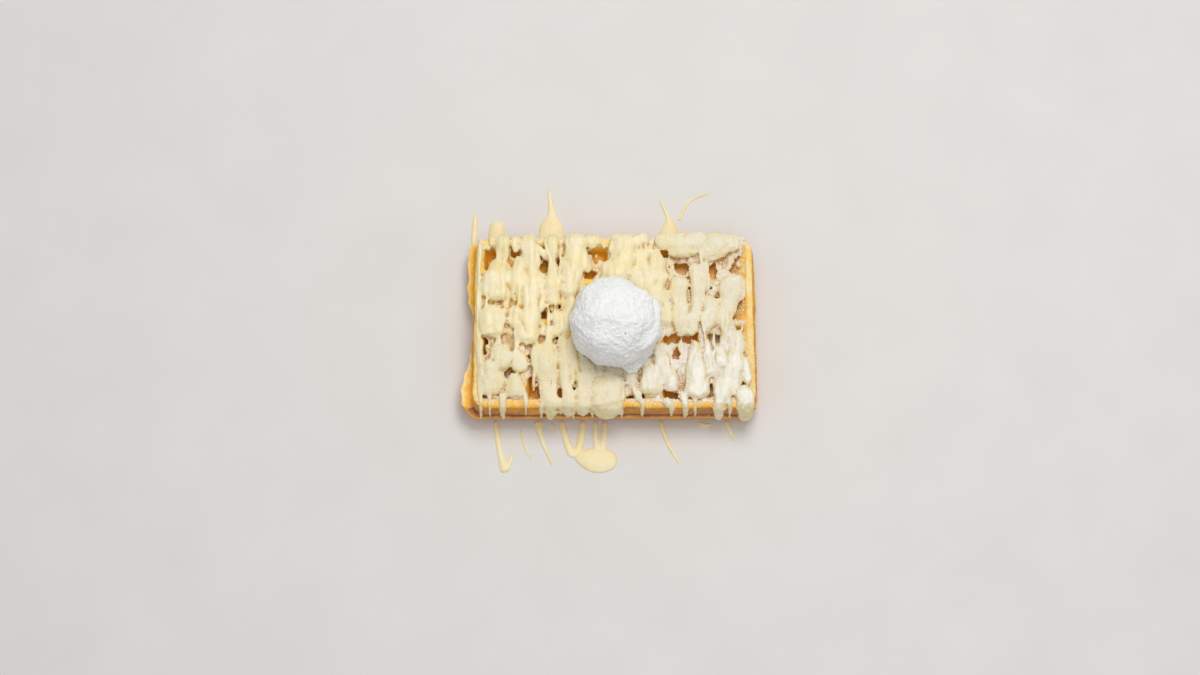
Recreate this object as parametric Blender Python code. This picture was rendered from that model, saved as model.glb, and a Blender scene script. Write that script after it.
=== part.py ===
"""A rectangular waffle with four rows of six pockets on each face, under thick ropes of white
chocolate sauce, with one sugared scoop of ice cream in the middle and runs of sauce beside it.

The frame is in metres: +X along the long side, +Y away from the front edge, +Z up. The origin is
on the surface that the waffle lies on, under the middle of its grid."""

import math

import bmesh
import bpy
from mathutils import Vector, noise

MM = 0.001

# Waffle, in millimetres
HEIGHT = 25.0
PITCH_X, PITCH_Y = 24.6, 22.9
COLUMNS, ROWS = 6, 4
RIDGE = 3.4
HALF_X = (COLUMNS * PITCH_X + RIDGE) / 2 + 0.6
HALF_Y = (ROWS * PITCH_Y + RIDGE) / 2 + 0.6
CORNER_RADIUS = 7.0
CORNER_STEPS = 3
SIDE_STEP = 11.0
LEFT_STEP = 6.0
SEAM_HEIGHT = 12.0
FLARE = 2.3
SIDE_EASING = 0.45
RIGHT_OUT = 1.0
BACK_TAPER = 0.010
UNDER_DEPTH = 9.0
POCKET_DRAFT = 3.0
RIDGE_ROUNDING = 0.9
ROUNDING_DEPTH = 1.4
CUT_PAST = 1.0
POCKET_CORNER = 1.6
LAST_WALL_OUT = 1.5
LAST_WALL_IN = 3.6

# How deep each pocket of the top is down to its floor or to the sauce that fills it, in
# millimetres: one row for each row of pockets, from the front
TOP_DEPTHS = (
    (5, 10, 7, 6, 8, 6),
    (7, 5, 4, 5, 9, 6),
    (4, 9, 4, 4, 5, 9),
    (10, 10, 10, 6, 9, 10),
)

# The uneven lip of baked batter along the left side, in millimetres: y and how far it stands out
LEFT_LIP = ((-60, 3.6), (-46, 5.0), (-38, 6.0), (-28, 5.4), (-22, 2.8), (-13, 0.6), (0, 0.4), (11, 0.6))
LEFT_LIP += ((15, 3.4), (18, 4.6), (22, 3.2), (34, 4.0), (46, 4.2), (60, 2.4))

# Scoop, in millimetres
SCOOP_X, SCOOP_Y = 0.5, -4.7
SCOOP_BASE = 27.3
SCOOP_RADIUS = 24.0
SCOOP_CENTRE_UP = 13.0
SCOOP_SIDES, SCOOP_RINGS = 34, 14
SKIRT_UP = 7.0
FOOT_EASING = 0.7
BUMP = 1.0
TAIL_ANGLE = math.radians(293)
TAIL_REACH = 4.4
TAIL_SPREAD = 0.2
NOTCH_ANGLE = math.radians(53)
NOTCH_DEPTH = 2.2
NOTCH_SPREAD = 0.14
NOTCH_TOP = 25.0
NOTCH_FADE = 10.0

# Sauce, in millimetres
ROPE_SIDES = 6
ROPE_STEP = 5.0
ROPE_SAG = 2.6
ROPE_LIFT = 1.5
THIN_LIFT = 0.22
ROPE_DROP = 2.5
ROPE_START = 0.45
TIP_SHARE = 0.45
BED_RADIUS = 20.0
UNDER_SCOOP_TOP = 26.9
RUN_SIDES = 8
RUN_STEP = 4.0

# Each rope of sauce on the waffle: how far it hangs down the back wall and down the front wall,
# then its stations, each x, y and width
ROPES = (
    (8, 0, ((-61, 46, 7.5), (-61, 38, 8), (-63.5, 29, 12), (-65, 22, 15), (-65, 12, 14))),
    (0, 0, ((-58, 36, 4), (-58.5, 20, 5), (-60, 6, 5))),
    (0, 0, ((-52, 38, 6), (-52.5, 25, 9), (-54, 12, 6))),
    (
        6,
        0,
        ((-47, 46, 9), (-45.5, 36, 10), (-45, 24, 10), (-45.5, 12, 10.5), (-46.5, -2, 14), (-48, -13, 14)),
    ),
    (0, 0, ((-53, 9, 8), (-54, -4, 11))),
    (0, 0, ((-42, 44, 3.5), (-36, 36, 3.5))),
    (9, 0, ((-34, 46, 8), (-33.5, 35, 5), (-33.5, 22, 9), (-34, 9, 9.5))),
    (8, 0, ((-21, 46, 13), (-20.5, 37, 14.5), (-22.5, 28, 13), (-25.5, 14, 8))),
    (0, 0, ((-22, 15, 5), (-25.5, 5, 5), (-26.5, -7, 4.5))),
    (0, 0, ((-32, 7, 6), (-30, -4, 7), (-40, -6, 7))),
    (9, 0, ((5, 46, 14), (6, 37, 15), (1, 28, 17), (-6, 20, 16), (-13, 13, 10))),
    (0, 0, ((13, 42, 14), (17, 34, 23), (20, 24, 22), (25, 12, 12), (27, 1, 7))),
    (12, 0, ((38.5, 46, 17), (39, 37, 17))),
    (10, 0, ((57, 46, 18), (58, 36, 17))),
    (0, 0, ((36.5, 26, 9), (36, 13, 11), (38, 2, 11), (39, -8, 8))),
    (0, 0, ((44.5, 34, 7), (46.5, 22, 8), (46.5, 11, 7.5), (43, -8, 4.5))),
    (0, 0, ((51.5, 36, 2.8), (52.5, 18, 2.8))),
    (0, 0, ((65, 27, 11), (65.5, 19, 16), (63, 10, 12), (62, -3, 6.5), (60.5, -20, 5))),
    (0, 0, ((54.5, 15, 9), (53.5, 3, 9), (52, -6, 4))),
    (0, 0, ((30, 12, 8), (28.5, -2, 7))),
    (0, 0, ((-64, 9, 13), (-66, 0, 16), (-66, -9, 14))),
    (0, 0, ((-73, -9, 4), (-73, -18, 4), (-72, -27, 6))),
    (0, 0, ((-64, -12, 10), (-62, -20, 12), (-57, -27, 12))),
    (0, 0, ((-54, -17, 8), (-50, -29, 10))),
    (0, 0, ((-68, -22, 10), (-67, -32, 14), (-65.5, -42, 12))),
    (0, 17, ((-59, -34, 5), (-60.5, -46, 4))),
    (0, 0, ((-54, -30, 10), (-53.5, -43, 12))),
    (0, 16, ((-38, -11, 11), (-37.5, -19, 17), (-37, -28, 14), (-34, -46, 8))),
    (0, 13, ((-27.5, -8, 6), (-26.5, -20, 8), (-25, -46, 5.5))),
    (0, 12, ((-21, -9, 6), (-17.5, -19, 11), (-15, -31, 12), (-16.5, -46, 8))),
    (0, 11, ((-3.5, -27, 20), (-3, -37, 19), (-3.2, -46.6, 19.2))),
    (0, 12, ((9, -26, 8), (11, -36, 6), (16, -47, 3))),
    (0, 0, ((17, -19, 9), (20.5, -30, 11), (20, -42, 12))),
    (0, 0, ((23, -12, 5), (26.5, -22, 8), (31, -32, 9), (33.5, -40, 9))),
    (0, 13, ((27, -45, 8), (32, -47, 3.6))),
    (0, 0, ((45, -11, 4), (45.5, -22, 9), (46, -31, 12), (46, -44, 15))),
    (0, 13, ((38, -40, 8), (39.5, -47, 4))),
    (0, 0, ((51, -10, 3), (52.5, -19, 5), (55, -32, 8))),
    (0, 0, ((60, -12, 5), (60, -28, 8))),
    (0, 17, ((67.5, -5, 9), (67.5, -16, 9), (65.5, -28, 13), (61, -38, 15), (58, -47, 7))),
    (0, 0, ((73, -20, 4), (74, -36, 5))),
    (0, 18, ((71.5, -37, 9), (72.4, -46.6, 10.4))),
    (0, 17, ((-73.4, 46, 2.4), (-74, 25, 2.6), (-74.2, 5, 2.4), (-74, -15, 3), (-72.6, -46.6, 2.4))),
    (0, 15, ((-67, -40, 3), (-67.6, -46.6, 1.8))),
    (0, 13, ((-48, -40, 4), (-47.9, -46.6, 1.9))),
    (0, 14, ((63, -42, 5), (64, -46.6, 2.6))),
    (7, 0, ((29, 46, 11), (30, 40, 12))),
    (5, 0, ((47, 46, 13), (47.5, 40, 12))),
    (6, 0, ((67, 46, 9), (66, 40, 10))),
    (5, 0, ((-11, 46, 10), (-10, 40, 8))),
    (5, 0, ((16, 46, 11), (17, 40, 10))),
    (0, 0, ((-41, 30, 6), (-40, 16, 7), (-40, 6, 6))),
)

# Each run of sauce that lies beside the waffle: its name, then strands of stations, each x, y and width
RUNS = (
    ("sauce_run_back_left", (((-77.8, 51, 3.4), (-77.2, 61, 3.6), (-77, 70, 2.4)),)),
    ("sauce_loop_back", (((-65.5, 49.5, 8), (-65, 58, 9.5), (-64.5, 66, 7.5)),)),
    ("sauce_fan_back", (((-34.5, 49.5, 16), (-34.3, 63, 13), (-34.2, 71, 5), (-36, 85, 1.3)),)),
    ("sauce_fan_back_right", (((31.5, 49.5, 17), (31.5, 60, 11), (31, 68, 3.2), (26, 79, 1.3)),)),
    ("sauce_whisker_back_right", (((36.4, 66.5, 2), (43.5, 78, 1.6), (54.5, 83, 1.2)),)),
    ("sauce_blob_back", (((52, 49.5, 8), (51.5, 57.5, 6.5)),)),
    (
        "sauce_hook_front",
        (((-65, -49.5, 3), (-62.5, -66, 3.6), (-59.5, -79, 5.5)), ((-59, -78.5, 4), (-55, -68, 1.6))),
    ),
    ("sauce_trickle_front", (((-41.5, -49.5, 6), (-39.4, -60, 3), (-33.4, -75, 1.4)),)),
    (
        "sauce_pool_front",
        (
            ((-28.5, -49.5, 3.6), (-26, -60, 4), (-22.5, -68.5, 5), (-18.5, -64, 4.5), (-16.3, -49.5, 3.8)),
            ((-9.6, -49.5, 2.6), (-9.6, -60, 3.4), (-8, -68, 5)),
            ((-4.4, -49.5, 3), (-5, -60, 4), (-7, -69, 5)),
            ((-20.5, -68.4, 5), (-16.5, -70.5, 10), (-10, -72, 15), (-3, -71.7, 13.5), (2, -70, 6.5)),
        ),
    ),
    ("sauce_trickle_front_right", (((26, -49.5, 3), (30, -62, 2.4), (36.5, -74, 1.3)),)),
    ("sauce_trickle_front_corner", (((62.5, -49.5, 3.4), (64.4, -55, 3), (66.5, -61, 1.6)),)),
)

COLOURS = {
    "waffle": ((0.80, 0.50, 0.17), 0.6),
    "ice_cream_scoop": ((0.90, 0.90, 0.90), 0.8),
    "sauce": ((0.88, 0.80, 0.58), 0.35),
}


def start_empty():
    """Clears the objects that a new Blender file holds."""
    for left_over in list(bpy.data.objects):
        bpy.data.objects.remove(left_over, do_unlink=True)


def material(name):
    """A plain material with the colour and roughness that the finish has."""
    made = bpy.data.materials.get(name) or bpy.data.materials.new(name)
    made.use_nodes = True
    colour, roughness = COLOURS[name]
    shader = made.node_tree.nodes["Principled BSDF"]
    shader.inputs["Base Color"].default_value = (*colour, 1)
    shader.inputs["Roughness"].default_value = roughness
    shader.inputs["Metallic"].default_value = 0
    return made


def add_object(name, mesh_data, finish=None, collection=None):
    """Turns a bmesh, in millimetres, into a named object in metres."""
    bmesh.ops.recalc_face_normals(mesh_data, faces=mesh_data.faces)
    bmesh.ops.scale(mesh_data, vec=(MM, MM, MM), verts=mesh_data.verts)
    mesh = bpy.data.meshes.new(name)
    mesh_data.to_mesh(mesh)
    mesh_data.free()
    made = bpy.data.objects.new(name, mesh)
    (collection or bpy.context.scene.collection).objects.link(made)
    if finish:
        mesh.materials.append(material(finish))
    return made


def loft(mesh_data, rings, closed_ends=True):
    """Joins rings of points, each with as many points as the next, by strips of faces."""
    made = [[mesh_data.verts.new(point) for point in ring] for ring in rings]
    for lower, upper in zip(made, made[1:]):
        for i, corner in enumerate(lower):
            after = (i + 1) % len(lower)
            mesh_data.faces.new((corner, lower[after], upper[after], upper[i]))
    if closed_ends:
        mesh_data.faces.new(list(reversed(made[0])))
        mesh_data.faces.new(made[-1])
    return made


def combine(body, others, operation, solver="EXACT"):
    """Joins or cuts a body with all the objects of a collection, and removes those objects."""
    modifier = body.modifiers.new(operation.title(), "BOOLEAN")
    modifier.operation = operation
    modifier.operand_type = "COLLECTION"
    modifier.collection = others
    modifier.solver = solver
    bpy.context.view_layer.update()
    shown = body.evaluated_get(bpy.context.evaluated_depsgraph_get())
    joined = bpy.data.meshes.new_from_object(shown)
    body.modifiers.clear()
    body.data = joined
    for used in list(others.objects):
        bpy.data.objects.remove(used, do_unlink=True)
    bpy.data.collections.remove(others)


def new_collection(name):
    made = bpy.data.collections.new(name)
    bpy.context.scene.collection.children.link(made)
    return made


def outline():
    """The waffle's outline at its top edge: pairs of a point and the direction outwards there."""
    straight_x, straight_y = HALF_X - CORNER_RADIUS, HALF_Y - CORNER_RADIUS
    pairs = []
    for quarter, (side_x, side_y) in enumerate(((1, 1), (-1, 1), (-1, -1), (1, -1))):
        centre = Vector((side_x * straight_x, side_y * straight_y))
        for step in range(CORNER_STEPS + 1):
            angle = math.radians(90 * (quarter + step / CORNER_STEPS))
            outward = Vector((math.cos(angle), math.sin(angle)))
            pairs.append((centre + CORNER_RADIUS * outward, outward))
        along_x = quarter % 2 == 0
        length = 2 * (straight_x if along_x else straight_y)
        steps = round(length / (LEFT_STEP if quarter == 1 else SIDE_STEP))
        last, outward = pairs[-1][0], pairs[-1][1]
        heading = Vector((-outward.y, outward.x))
        pairs += [(last + heading * length * k / steps, outward) for k in range(1, steps)]
    return pairs


def between(table, place):
    """The value of a table of places and values, read off at one place."""
    for (start, low), (end, high) in zip(table, table[1:]):
        if start <= place <= end:
            return low + (high - low) * (place - start) / (end - start)
    return table[-1][1]


def seam_lip(point, outward):
    """How far the baked batter stands out at the seam: an uneven lip, wide on the left side."""
    ripple = math.sin(0.35 * point.x + 0.8) * math.sin(0.23 * point.y)
    left = max(0.0, -outward.x)
    return (0.8 + 0.3 * ripple) * (1 - left) + left * between(LEFT_LIP, point.y)


def waffle_body():
    """The solid slab: two drafted halves that meet at the seam, before its pockets are pressed in."""
    levels = (
        (0.0, -0.9, 0),
        (1.2, 0.1, 0),
        (SEAM_HEIGHT - 1.4, FLARE, 0),
        (SEAM_HEIGHT - 0.8, FLARE, 1),
        (SEAM_HEIGHT + 0.8, FLARE, 1),
        (SEAM_HEIGHT + 1.4, FLARE, 0),
        (HEIGHT - 1.3, 0.2, 0),
        (HEIGHT, -0.8, 0),
    )
    rings = []
    for z, offset, lip in levels:
        ring = []
        for point, outward in outline():
            eased_side = offset * (1 - SIDE_EASING * abs(outward.x)) + RIGHT_OUT * max(0.0, outward.x)
            placed = point + outward * (eased_side + lip * seam_lip(point, outward))
            narrowing = 1 - BACK_TAPER * placed.y / HALF_Y
            ring.append((placed.x * narrowing, placed.y, z))
        rings.append(ring)
    slab = bmesh.new()
    loft(slab, rings)
    return add_object("waffle", slab, "waffle")


def pocket_ring(centre_x, centre_y, inset, z, wider=0.0):
    """A rectangle with cut corners: one level of a pocket's cutter, wider on its right by some amount."""
    half_x = (PITCH_X - RIDGE) / 2 - inset
    half_y = (PITCH_Y - RIDGE) / 2 - inset
    cut = POCKET_CORNER
    corners = (
        (half_x, half_y - cut),
        (half_x - cut, half_y),
        (cut - half_x, half_y),
        (-half_x, half_y - cut),
        (-half_x, cut - half_y),
        (cut - half_x, -half_y),
        (half_x - cut, -half_y),
        (half_x, cut - half_y),
    )
    return [(centre_x + x + (wider if x > 0 else 0), centre_y + y, z) for x, y in corners]


def pockets():
    """The middle of each pocket, its column and how deep it is on top, column by column."""
    for column in range(COLUMNS):
        for row in range(ROWS):
            x = (column - (COLUMNS - 1) / 2) * PITCH_X
            y = (row - (ROWS - 1) / 2) * PITCH_Y
            yield x, y, column, TOP_DEPTHS[row][column]


def press_pockets(body):
    """Cuts a drafted pocket with an eased mouth at each place of the grid, from above and below.

    The right wall of the last column slopes more, so that its rim is thin."""
    cutters = new_collection("pocket cutters")
    for x, y, column, top_depth in pockets():
        for surface, inward, depth in ((HEIGHT, -1, top_depth), (0, 1, UNDER_DEPTH)):
            sloped = column == COLUMNS - 1 and inward < 0
            out, inside = (LAST_WALL_OUT, -LAST_WALL_IN) if sloped else (0.0, 0.0)
            levels = (
                (-CUT_PAST, -RIDGE_ROUNDING * (1 + CUT_PAST / ROUNDING_DEPTH), out),
                (ROUNDING_DEPTH, 0, out),
                (depth, POCKET_DRAFT, inside),
            )
            cutter = bmesh.new()
            rings = []
            for down, inset, wider in levels:
                rings.append(pocket_ring(x, y, inset, surface + inward * down, wider))
            loft(cutter, rings)
            add_object("pocket cutter", cutter, collection=cutters)
    combine(body, cutters, "DIFFERENCE")


def smooth_route(stations, step):
    """Stations read off a smooth curve through the given ones, about a step apart."""
    points = [Vector(s) for s in stations]
    points = [2 * points[0] - points[1], *points, 2 * points[-1] - points[-2]]
    route = []
    for before, start, end, after in zip(points, points[1:], points[2:], points[3:]):
        parts = max(1, round((end - start).xy.length / step))
        for k in range(parts):
            t = k / parts
            route.append(
                0.5
                * (
                    2 * start
                    + (end - before) * t
                    + (2 * before - 5 * start + 4 * end - after) * t**2
                    + (3 * start - before - 3 * end + after) * t**3
                )
            )
    return [*route, points[-2]]


def ease(value):
    value = min(1.0, max(0.0, value))
    return value * value * (3 - 2 * value)


def over_pocket(x, y):
    """1 over the middle of a pocket and 0 over a ridge."""
    across = math.sin(math.pi * (x / PITCH_X)) ** 2
    along = math.sin(math.pi * (y / PITCH_Y)) ** 2
    return across * along


def rope_height(width):
    """How thick a rope of this width is."""
    return min(7.2, 1.8 + 0.42 * width)


def lie(x, y, width):
    """The height of a rope's middle where it lies on the grid, kept low under the scoop."""
    thick = rope_height(width)
    free = HEIGHT + min(ROPE_LIFT, THIN_LIFT * thick) - ROPE_SAG * over_pocket(x, y)
    away = math.hypot(x - SCOOP_X, y - SCOOP_Y) - (SCOOP_RADIUS + 3.5)
    under = UNDER_SCOOP_TOP - thick / 2 - 0.2 * abs(math.sin(1.7 * x + y))
    share = ease(away / 4)
    return free * share + min(free, under) * (1 - share)


def hanging_end(x, side, width, length):
    """Stations down the wall at the back (side 1) or front (side -1): x, y, width and height."""
    over_edge, past_wall = HALF_Y - 0.8, HALF_Y + 0.5
    stations = [(x, side * over_edge, width, HEIGHT + ROPE_START)]
    stations.append((x, side * past_wall, width, HEIGHT - ROPE_DROP))
    for share in (0.5, 1.0):
        z = HEIGHT - ROPE_DROP - share * (length - ROPE_DROP)
        y = past_wall + FLARE * min(1.0, (HEIGHT - z) / (HEIGHT - SEAM_HEIGHT))
        stations.append((x, side * y, width * (1 - 0.5 * share), z))
    return stations


def rope_path(back, front, stations):
    """The whole path of a rope over the waffle: x, y, width and height at each station."""
    middle = [(s.x, s.y, s.z, lie(s.x, s.y, s.z)) for s in smooth_route(stations, ROPE_STEP)]
    if back:
        x, _, width = stations[0]
        middle = hanging_end(x, 1, width, back)[::-1] + middle
    if front:
        x, _, width = stations[-1]
        middle = middle + hanging_end(x, -1, width, front)
    return middle


def tube_rings(path, sides):
    """Flattened rings square to a path. The path's ends close in to a blunt tip."""
    points = [Vector((x, y, z)) for x, y, _, z in path]
    rings = []
    for i, (_, _, width, _) in enumerate(path):
        before, after = points[max(0, i - 1)], points[min(len(points) - 1, i + 1)]
        heading = (after - before).normalized()
        flat = Vector((heading.x, heading.y, 0))
        side = Vector((flat.y, -flat.x, 0)).normalized() if flat.length > 1e-3 else Vector((1, 0, 0))
        if rings and side.dot(last_side) < 0:
            side = -side
        last_side = side
        up = side.cross(heading)
        tip = TIP_SHARE if i in (0, len(path) - 1) else 1.0
        half_width, half_height = tip * width / 2, tip * rope_height(width) / 2
        ring = []
        for k in range(sides):
            angle = 2 * math.pi * (k + 0.5) / sides
            ring.append(points[i] + side * half_width * math.cos(angle) + up * half_height * math.sin(angle))
        rings.append(ring)
    return rings


def sauce_bed():
    """The low pool of sauce that the scoop sits on."""
    bed = bmesh.new()
    sides = 20
    rings = []
    levels = ((HEIGHT - 4, 0.8), (HEIGHT - 1, 1.0), (UNDER_SCOOP_TOP - 0.7, 0.98), (UNDER_SCOOP_TOP, 0.85))
    for z, radius in levels:
        ring = []
        for k in range(sides):
            angle = 2 * math.pi * k / sides
            reach = radius * BED_RADIUS * (1 + 0.07 * math.sin(3 * angle + 0.4))
            ring.append((SCOOP_X + reach * math.cos(angle), SCOOP_Y + reach * math.sin(angle), z))
        rings.append(ring)
    loft(bed, rings)
    return bed


def pour_sauce(body):
    """Lays every rope of sauce over the waffle and fuses all of them to it."""
    sauce = new_collection("sauce ropes")
    for back, front, stations in ROPES:
        rope = bmesh.new()
        loft(rope, tube_rings(rope_path(back, front, stations), ROPE_SIDES))
        add_object("sauce rope", rope, collection=sauce)
    add_object("sauce bed", sauce_bed(), collection=sauce)
    combine(body, sauce, "UNION")


def scoop():
    """The scoop: a ball cut flat below, with a ragged skirt that is widest at the right and front."""
    heights = [0, 0.8, 2.5, 5]
    top = SCOOP_CENTRE_UP + SCOOP_RADIUS
    steps = SCOOP_RINGS - len(heights)
    for k in range(1, steps + 1):
        climb = math.asin((heights[3] - SCOOP_CENTRE_UP) / SCOOP_RADIUS)
        angle = climb + (math.pi / 2 - climb) * k / (steps + 1)
        heights.append(SCOOP_CENTRE_UP + SCOOP_RADIUS * math.sin(angle))
    rings = []
    for height in heights:
        ball = math.sqrt(SCOOP_RADIUS**2 - (height - SCOOP_CENTRE_UP) ** 2)
        ring = []
        for k in range(SCOOP_SIDES):
            angle = 2 * math.pi * k / SCOOP_SIDES
            out = Vector((math.cos(angle), math.sin(angle), height / SCOOP_RADIUS))
            bump = BUMP * noise.noise(out * 2.3)
            skirt = max(0.0, 1 - height / SKIRT_UP) * skirt_reach(angle)
            notch = NOTCH_DEPTH * math.exp(-(((angle - NOTCH_ANGLE) / NOTCH_SPREAD) ** 2))
            notch *= ease((NOTCH_TOP - height) / NOTCH_FADE)
            reach = ball + bump + skirt - notch - (FOOT_EASING if height == 0 else 0)
            ring.append((SCOOP_X + reach * out.x, SCOOP_Y + reach * out.y, SCOOP_BASE + height))
        rings.append(ring)
    ball = bmesh.new()
    made = loft(ball, rings, closed_ends=False)
    ball.faces.new(list(reversed(made[0])))
    crown = ball.verts.new((SCOOP_X, SCOOP_Y, SCOOP_BASE + top))
    for i, corner in enumerate(made[-1]):
        ball.faces.new((corner, made[-1][(i + 1) % SCOOP_SIDES], crown))
    return add_object("ice_cream_scoop", ball, "ice_cream_scoop")


def skirt_reach(angle):
    """How far the skirt of the scoop stands out in this direction."""
    right = max(0.0, math.cos(angle + 0.1))
    tail = math.exp(-(((angle - TAIL_ANGLE) / TAIL_SPREAD) ** 4))
    ragged = 0.6 * math.sin(5 * angle) + 0.5 * math.sin(9 * angle + 1)
    return 1.2 + 2.6 * right + ragged + TAIL_REACH * tail


def run_height(width):
    """How thick a run of this width lies on the surface."""
    return min(1.9, 0.6 + 0.13 * width)


def sauce_strand(stations):
    """A strand that lies flat on the surface, with a domed top."""
    path = [(s.x, s.y, s.z) for s in smooth_route(stations, RUN_STEP)]
    rings = []
    for i, (x, y, width) in enumerate(path):
        before, after = path[max(0, i - 1)], path[min(len(path) - 1, i + 1)]
        heading = Vector((after[0] - before[0], after[1] - before[1])).normalized()
        side = Vector((heading.y, -heading.x))
        tip = 0.5 if i in (0, len(path) - 1) else 1.0
        ring = []
        for k in range(RUN_SIDES):
            angle = math.pi * k / (RUN_SIDES - 1)
            place = Vector((x, y)) + side * tip * width / 2 * math.cos(angle)
            ring.append((place.x, place.y, tip * run_height(width) * math.sin(angle)))
        rings.append(ring)
    strand = bmesh.new()
    loft(strand, rings)
    return strand


def sauce_run(name, strands):
    """One run of sauce beside the waffle, with its strands fused where they meet."""
    first, *others = strands
    body = add_object(name, sauce_strand(first), "sauce")
    if others:
        more = new_collection("more strands")
        for stations in others:
            add_object("strand", sauce_strand(stations), collection=more)
        combine(body, more, "UNION", solver="MANIFOLD")


def main():
    start_empty()
    body = waffle_body()
    press_pockets(body)
    pour_sauce(body)
    scoop()
    for name, strands in RUNS:
        sauce_run(name, strands)


main()
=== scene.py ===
# %% [markdown]
# # A waffle under white chocolate sauce
# This lesson dresses a plain solid waffle as the real dish looks from above: a golden crust with
# deep pockets, thick ropes of white chocolate poured over it, a sugared scoop of ice cream in the
# middle and icing sugar over everything. The solid gives the size and the place of every piece, so
# the first step loads it.

# %% Load the solid waffle
import bmesh
import bpy
import math
import numpy as np
import random
from mathutils import Matrix, Vector, noise
from mathutils.bvhtree import BVHTree


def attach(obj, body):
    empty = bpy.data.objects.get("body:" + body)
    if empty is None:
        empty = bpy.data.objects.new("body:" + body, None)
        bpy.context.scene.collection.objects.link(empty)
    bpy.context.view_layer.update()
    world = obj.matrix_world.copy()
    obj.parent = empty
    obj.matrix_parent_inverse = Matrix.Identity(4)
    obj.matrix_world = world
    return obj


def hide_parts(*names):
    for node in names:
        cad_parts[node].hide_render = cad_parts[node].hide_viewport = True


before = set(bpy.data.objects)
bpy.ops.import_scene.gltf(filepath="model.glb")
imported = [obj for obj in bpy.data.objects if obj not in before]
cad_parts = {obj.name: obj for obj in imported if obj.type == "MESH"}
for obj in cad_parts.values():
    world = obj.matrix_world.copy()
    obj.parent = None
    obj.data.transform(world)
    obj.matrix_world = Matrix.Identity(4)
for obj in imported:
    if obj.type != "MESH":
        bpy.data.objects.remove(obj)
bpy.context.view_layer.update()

# %% [markdown]
# A waffle is small, and its details are smaller still, so each piece is modelled in millimetres and
# brought to metres when it is done. A few short helpers are used all the way through. One selects a
# single object, since an operator acts on everything that is selected. One adds a modifier and
# applies it at once, so that a finished piece is plain mesh.

# %% Helpers for selecting and for modifiers
MM = 0.001


def only(piece):
    """Selects one object, or none, and nothing else."""
    bpy.ops.object.select_all(action="DESELECT")
    bpy.context.view_layer.objects.active = piece
    if piece:
        piece.select_set(True)


def apply_modifier(piece, kind, **settings):
    """Adds a modifier with these settings and applies it."""
    only(piece)
    modifier = piece.modifiers.new(kind.title(), kind)
    for name, value in settings.items():
        setattr(modifier, name, value)
    bpy.ops.object.modifier_apply(modifier=modifier.name)


def settle(piece):
    """Brings the place, turn and size of a piece into its own mesh."""
    only(piece)
    bpy.ops.object.transform_apply(location=True, rotation=True, scale=True)


def even_out(piece, voxel):
    """Remeshes a piece in even steps, which fuses what overlaps, and smooths it a little."""
    apply_modifier(piece, "REMESH", mode="VOXEL", voxel_size=voxel)
    apply_modifier(piece, "SMOOTH", factor=0.5, iterations=3)


def join(pieces, name):
    """Joins several objects into one mesh object."""
    only(pieces[0])
    for piece in pieces:
        piece.select_set(True)
    bpy.ops.object.join()
    pieces[0].name = name
    return pieces[0]


def ease(value):
    """A smooth step from 0 to 1."""
    value = min(1.0, max(0.0, value))
    return value * value * (3 - 2 * value)


print("one unit of the model is", MM, "metres")

# %% [markdown]
# ## Camera and light
# The dish is seen almost from straight above and from far away, through a long lens, so its sides
# hardly taper. The light is that of a bright food picture: a soft source high above, a little behind
# and to the right, a broader one in front that reaches into the pockets, and a bright room that fills
# the shadows.

# %% Camera
CAMERA_ELEVATION = 73.5
CAMERA_DISTANCE = 2.6
CAMERA_LENS = 140.5
AIM = Vector((-0.0072, -0.0016, 0.0))

camera_data = bpy.data.cameras.new("camera")
camera_data.lens = CAMERA_LENS
camera_data.sensor_width = 36.0
camera_data.clip_start = 0.1
camera_data.clip_end = 20.0
camera = bpy.data.objects.new("camera", camera_data)
tilt = math.radians(CAMERA_ELEVATION)
camera.location = AIM + CAMERA_DISTANCE * Vector((0, -math.cos(tilt), math.sin(tilt)))
camera.rotation_euler = (math.pi / 2 - tilt, 0, 0)
bpy.context.scene.collection.objects.link(camera)
bpy.context.scene.camera = camera
bpy.context.scene.view_settings.view_transform = "Standard"
print("camera at", tuple(round(c, 3) for c in camera.location))

# %% [markdown]
# A sun would be simpler, but its shadows are hard. Area lights are used, because their size makes
# the shadows as soft as those of a window, and the bright room fills what they leave dark.


# %% Lights and the bright room
def area_light(name, location, size, power, colour):
    """A square soft light that faces the dish."""
    data = bpy.data.lights.new(name, "AREA")
    data.shape = "SQUARE"
    data.size = size
    data.energy = power
    data.color = colour
    lamp = bpy.data.objects.new(name, data)
    lamp.location = location
    lamp.rotation_euler = (-Vector(location)).to_track_quat("-Z", "Y").to_euler()
    bpy.context.scene.collection.objects.link(lamp)


LAMPS = (
    # Name, place and size in metres, power in watts, and colour
    ("window", (0.20, 0.42, 1.33), 0.6, 9.1, (1.0, 0.99, 0.97)),
    ("ceiling", (0.15, -0.45, 1.7), 1.0, 5.0, (1.0, 1.0, 1.0)),
)
ROOM_BRIGHTNESS = 0.43
for lamp in LAMPS:
    area_light(*lamp)

room = bpy.data.worlds.new("bright room")
room.use_nodes = True
room.node_tree.nodes["Background"].inputs["Color"].default_value = (1.0, 1.0, 1.0, 1)
room.node_tree.nodes["Background"].inputs["Strength"].default_value = ROOM_BRIGHTNESS
bpy.context.scene.world = room
print(len(LAMPS), "lamps in a room of brightness", ROOM_BRIGHTNESS)

# %% [markdown]
# ## Helpers for finishes
# Every finish is built from the same few nodes: a noise, a painted attribute, a step of arithmetic,
# a colour ramp, a mix and a bump. Each helper adds one node, links it and returns its output, so
# that a finish reads like a formula.


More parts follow.
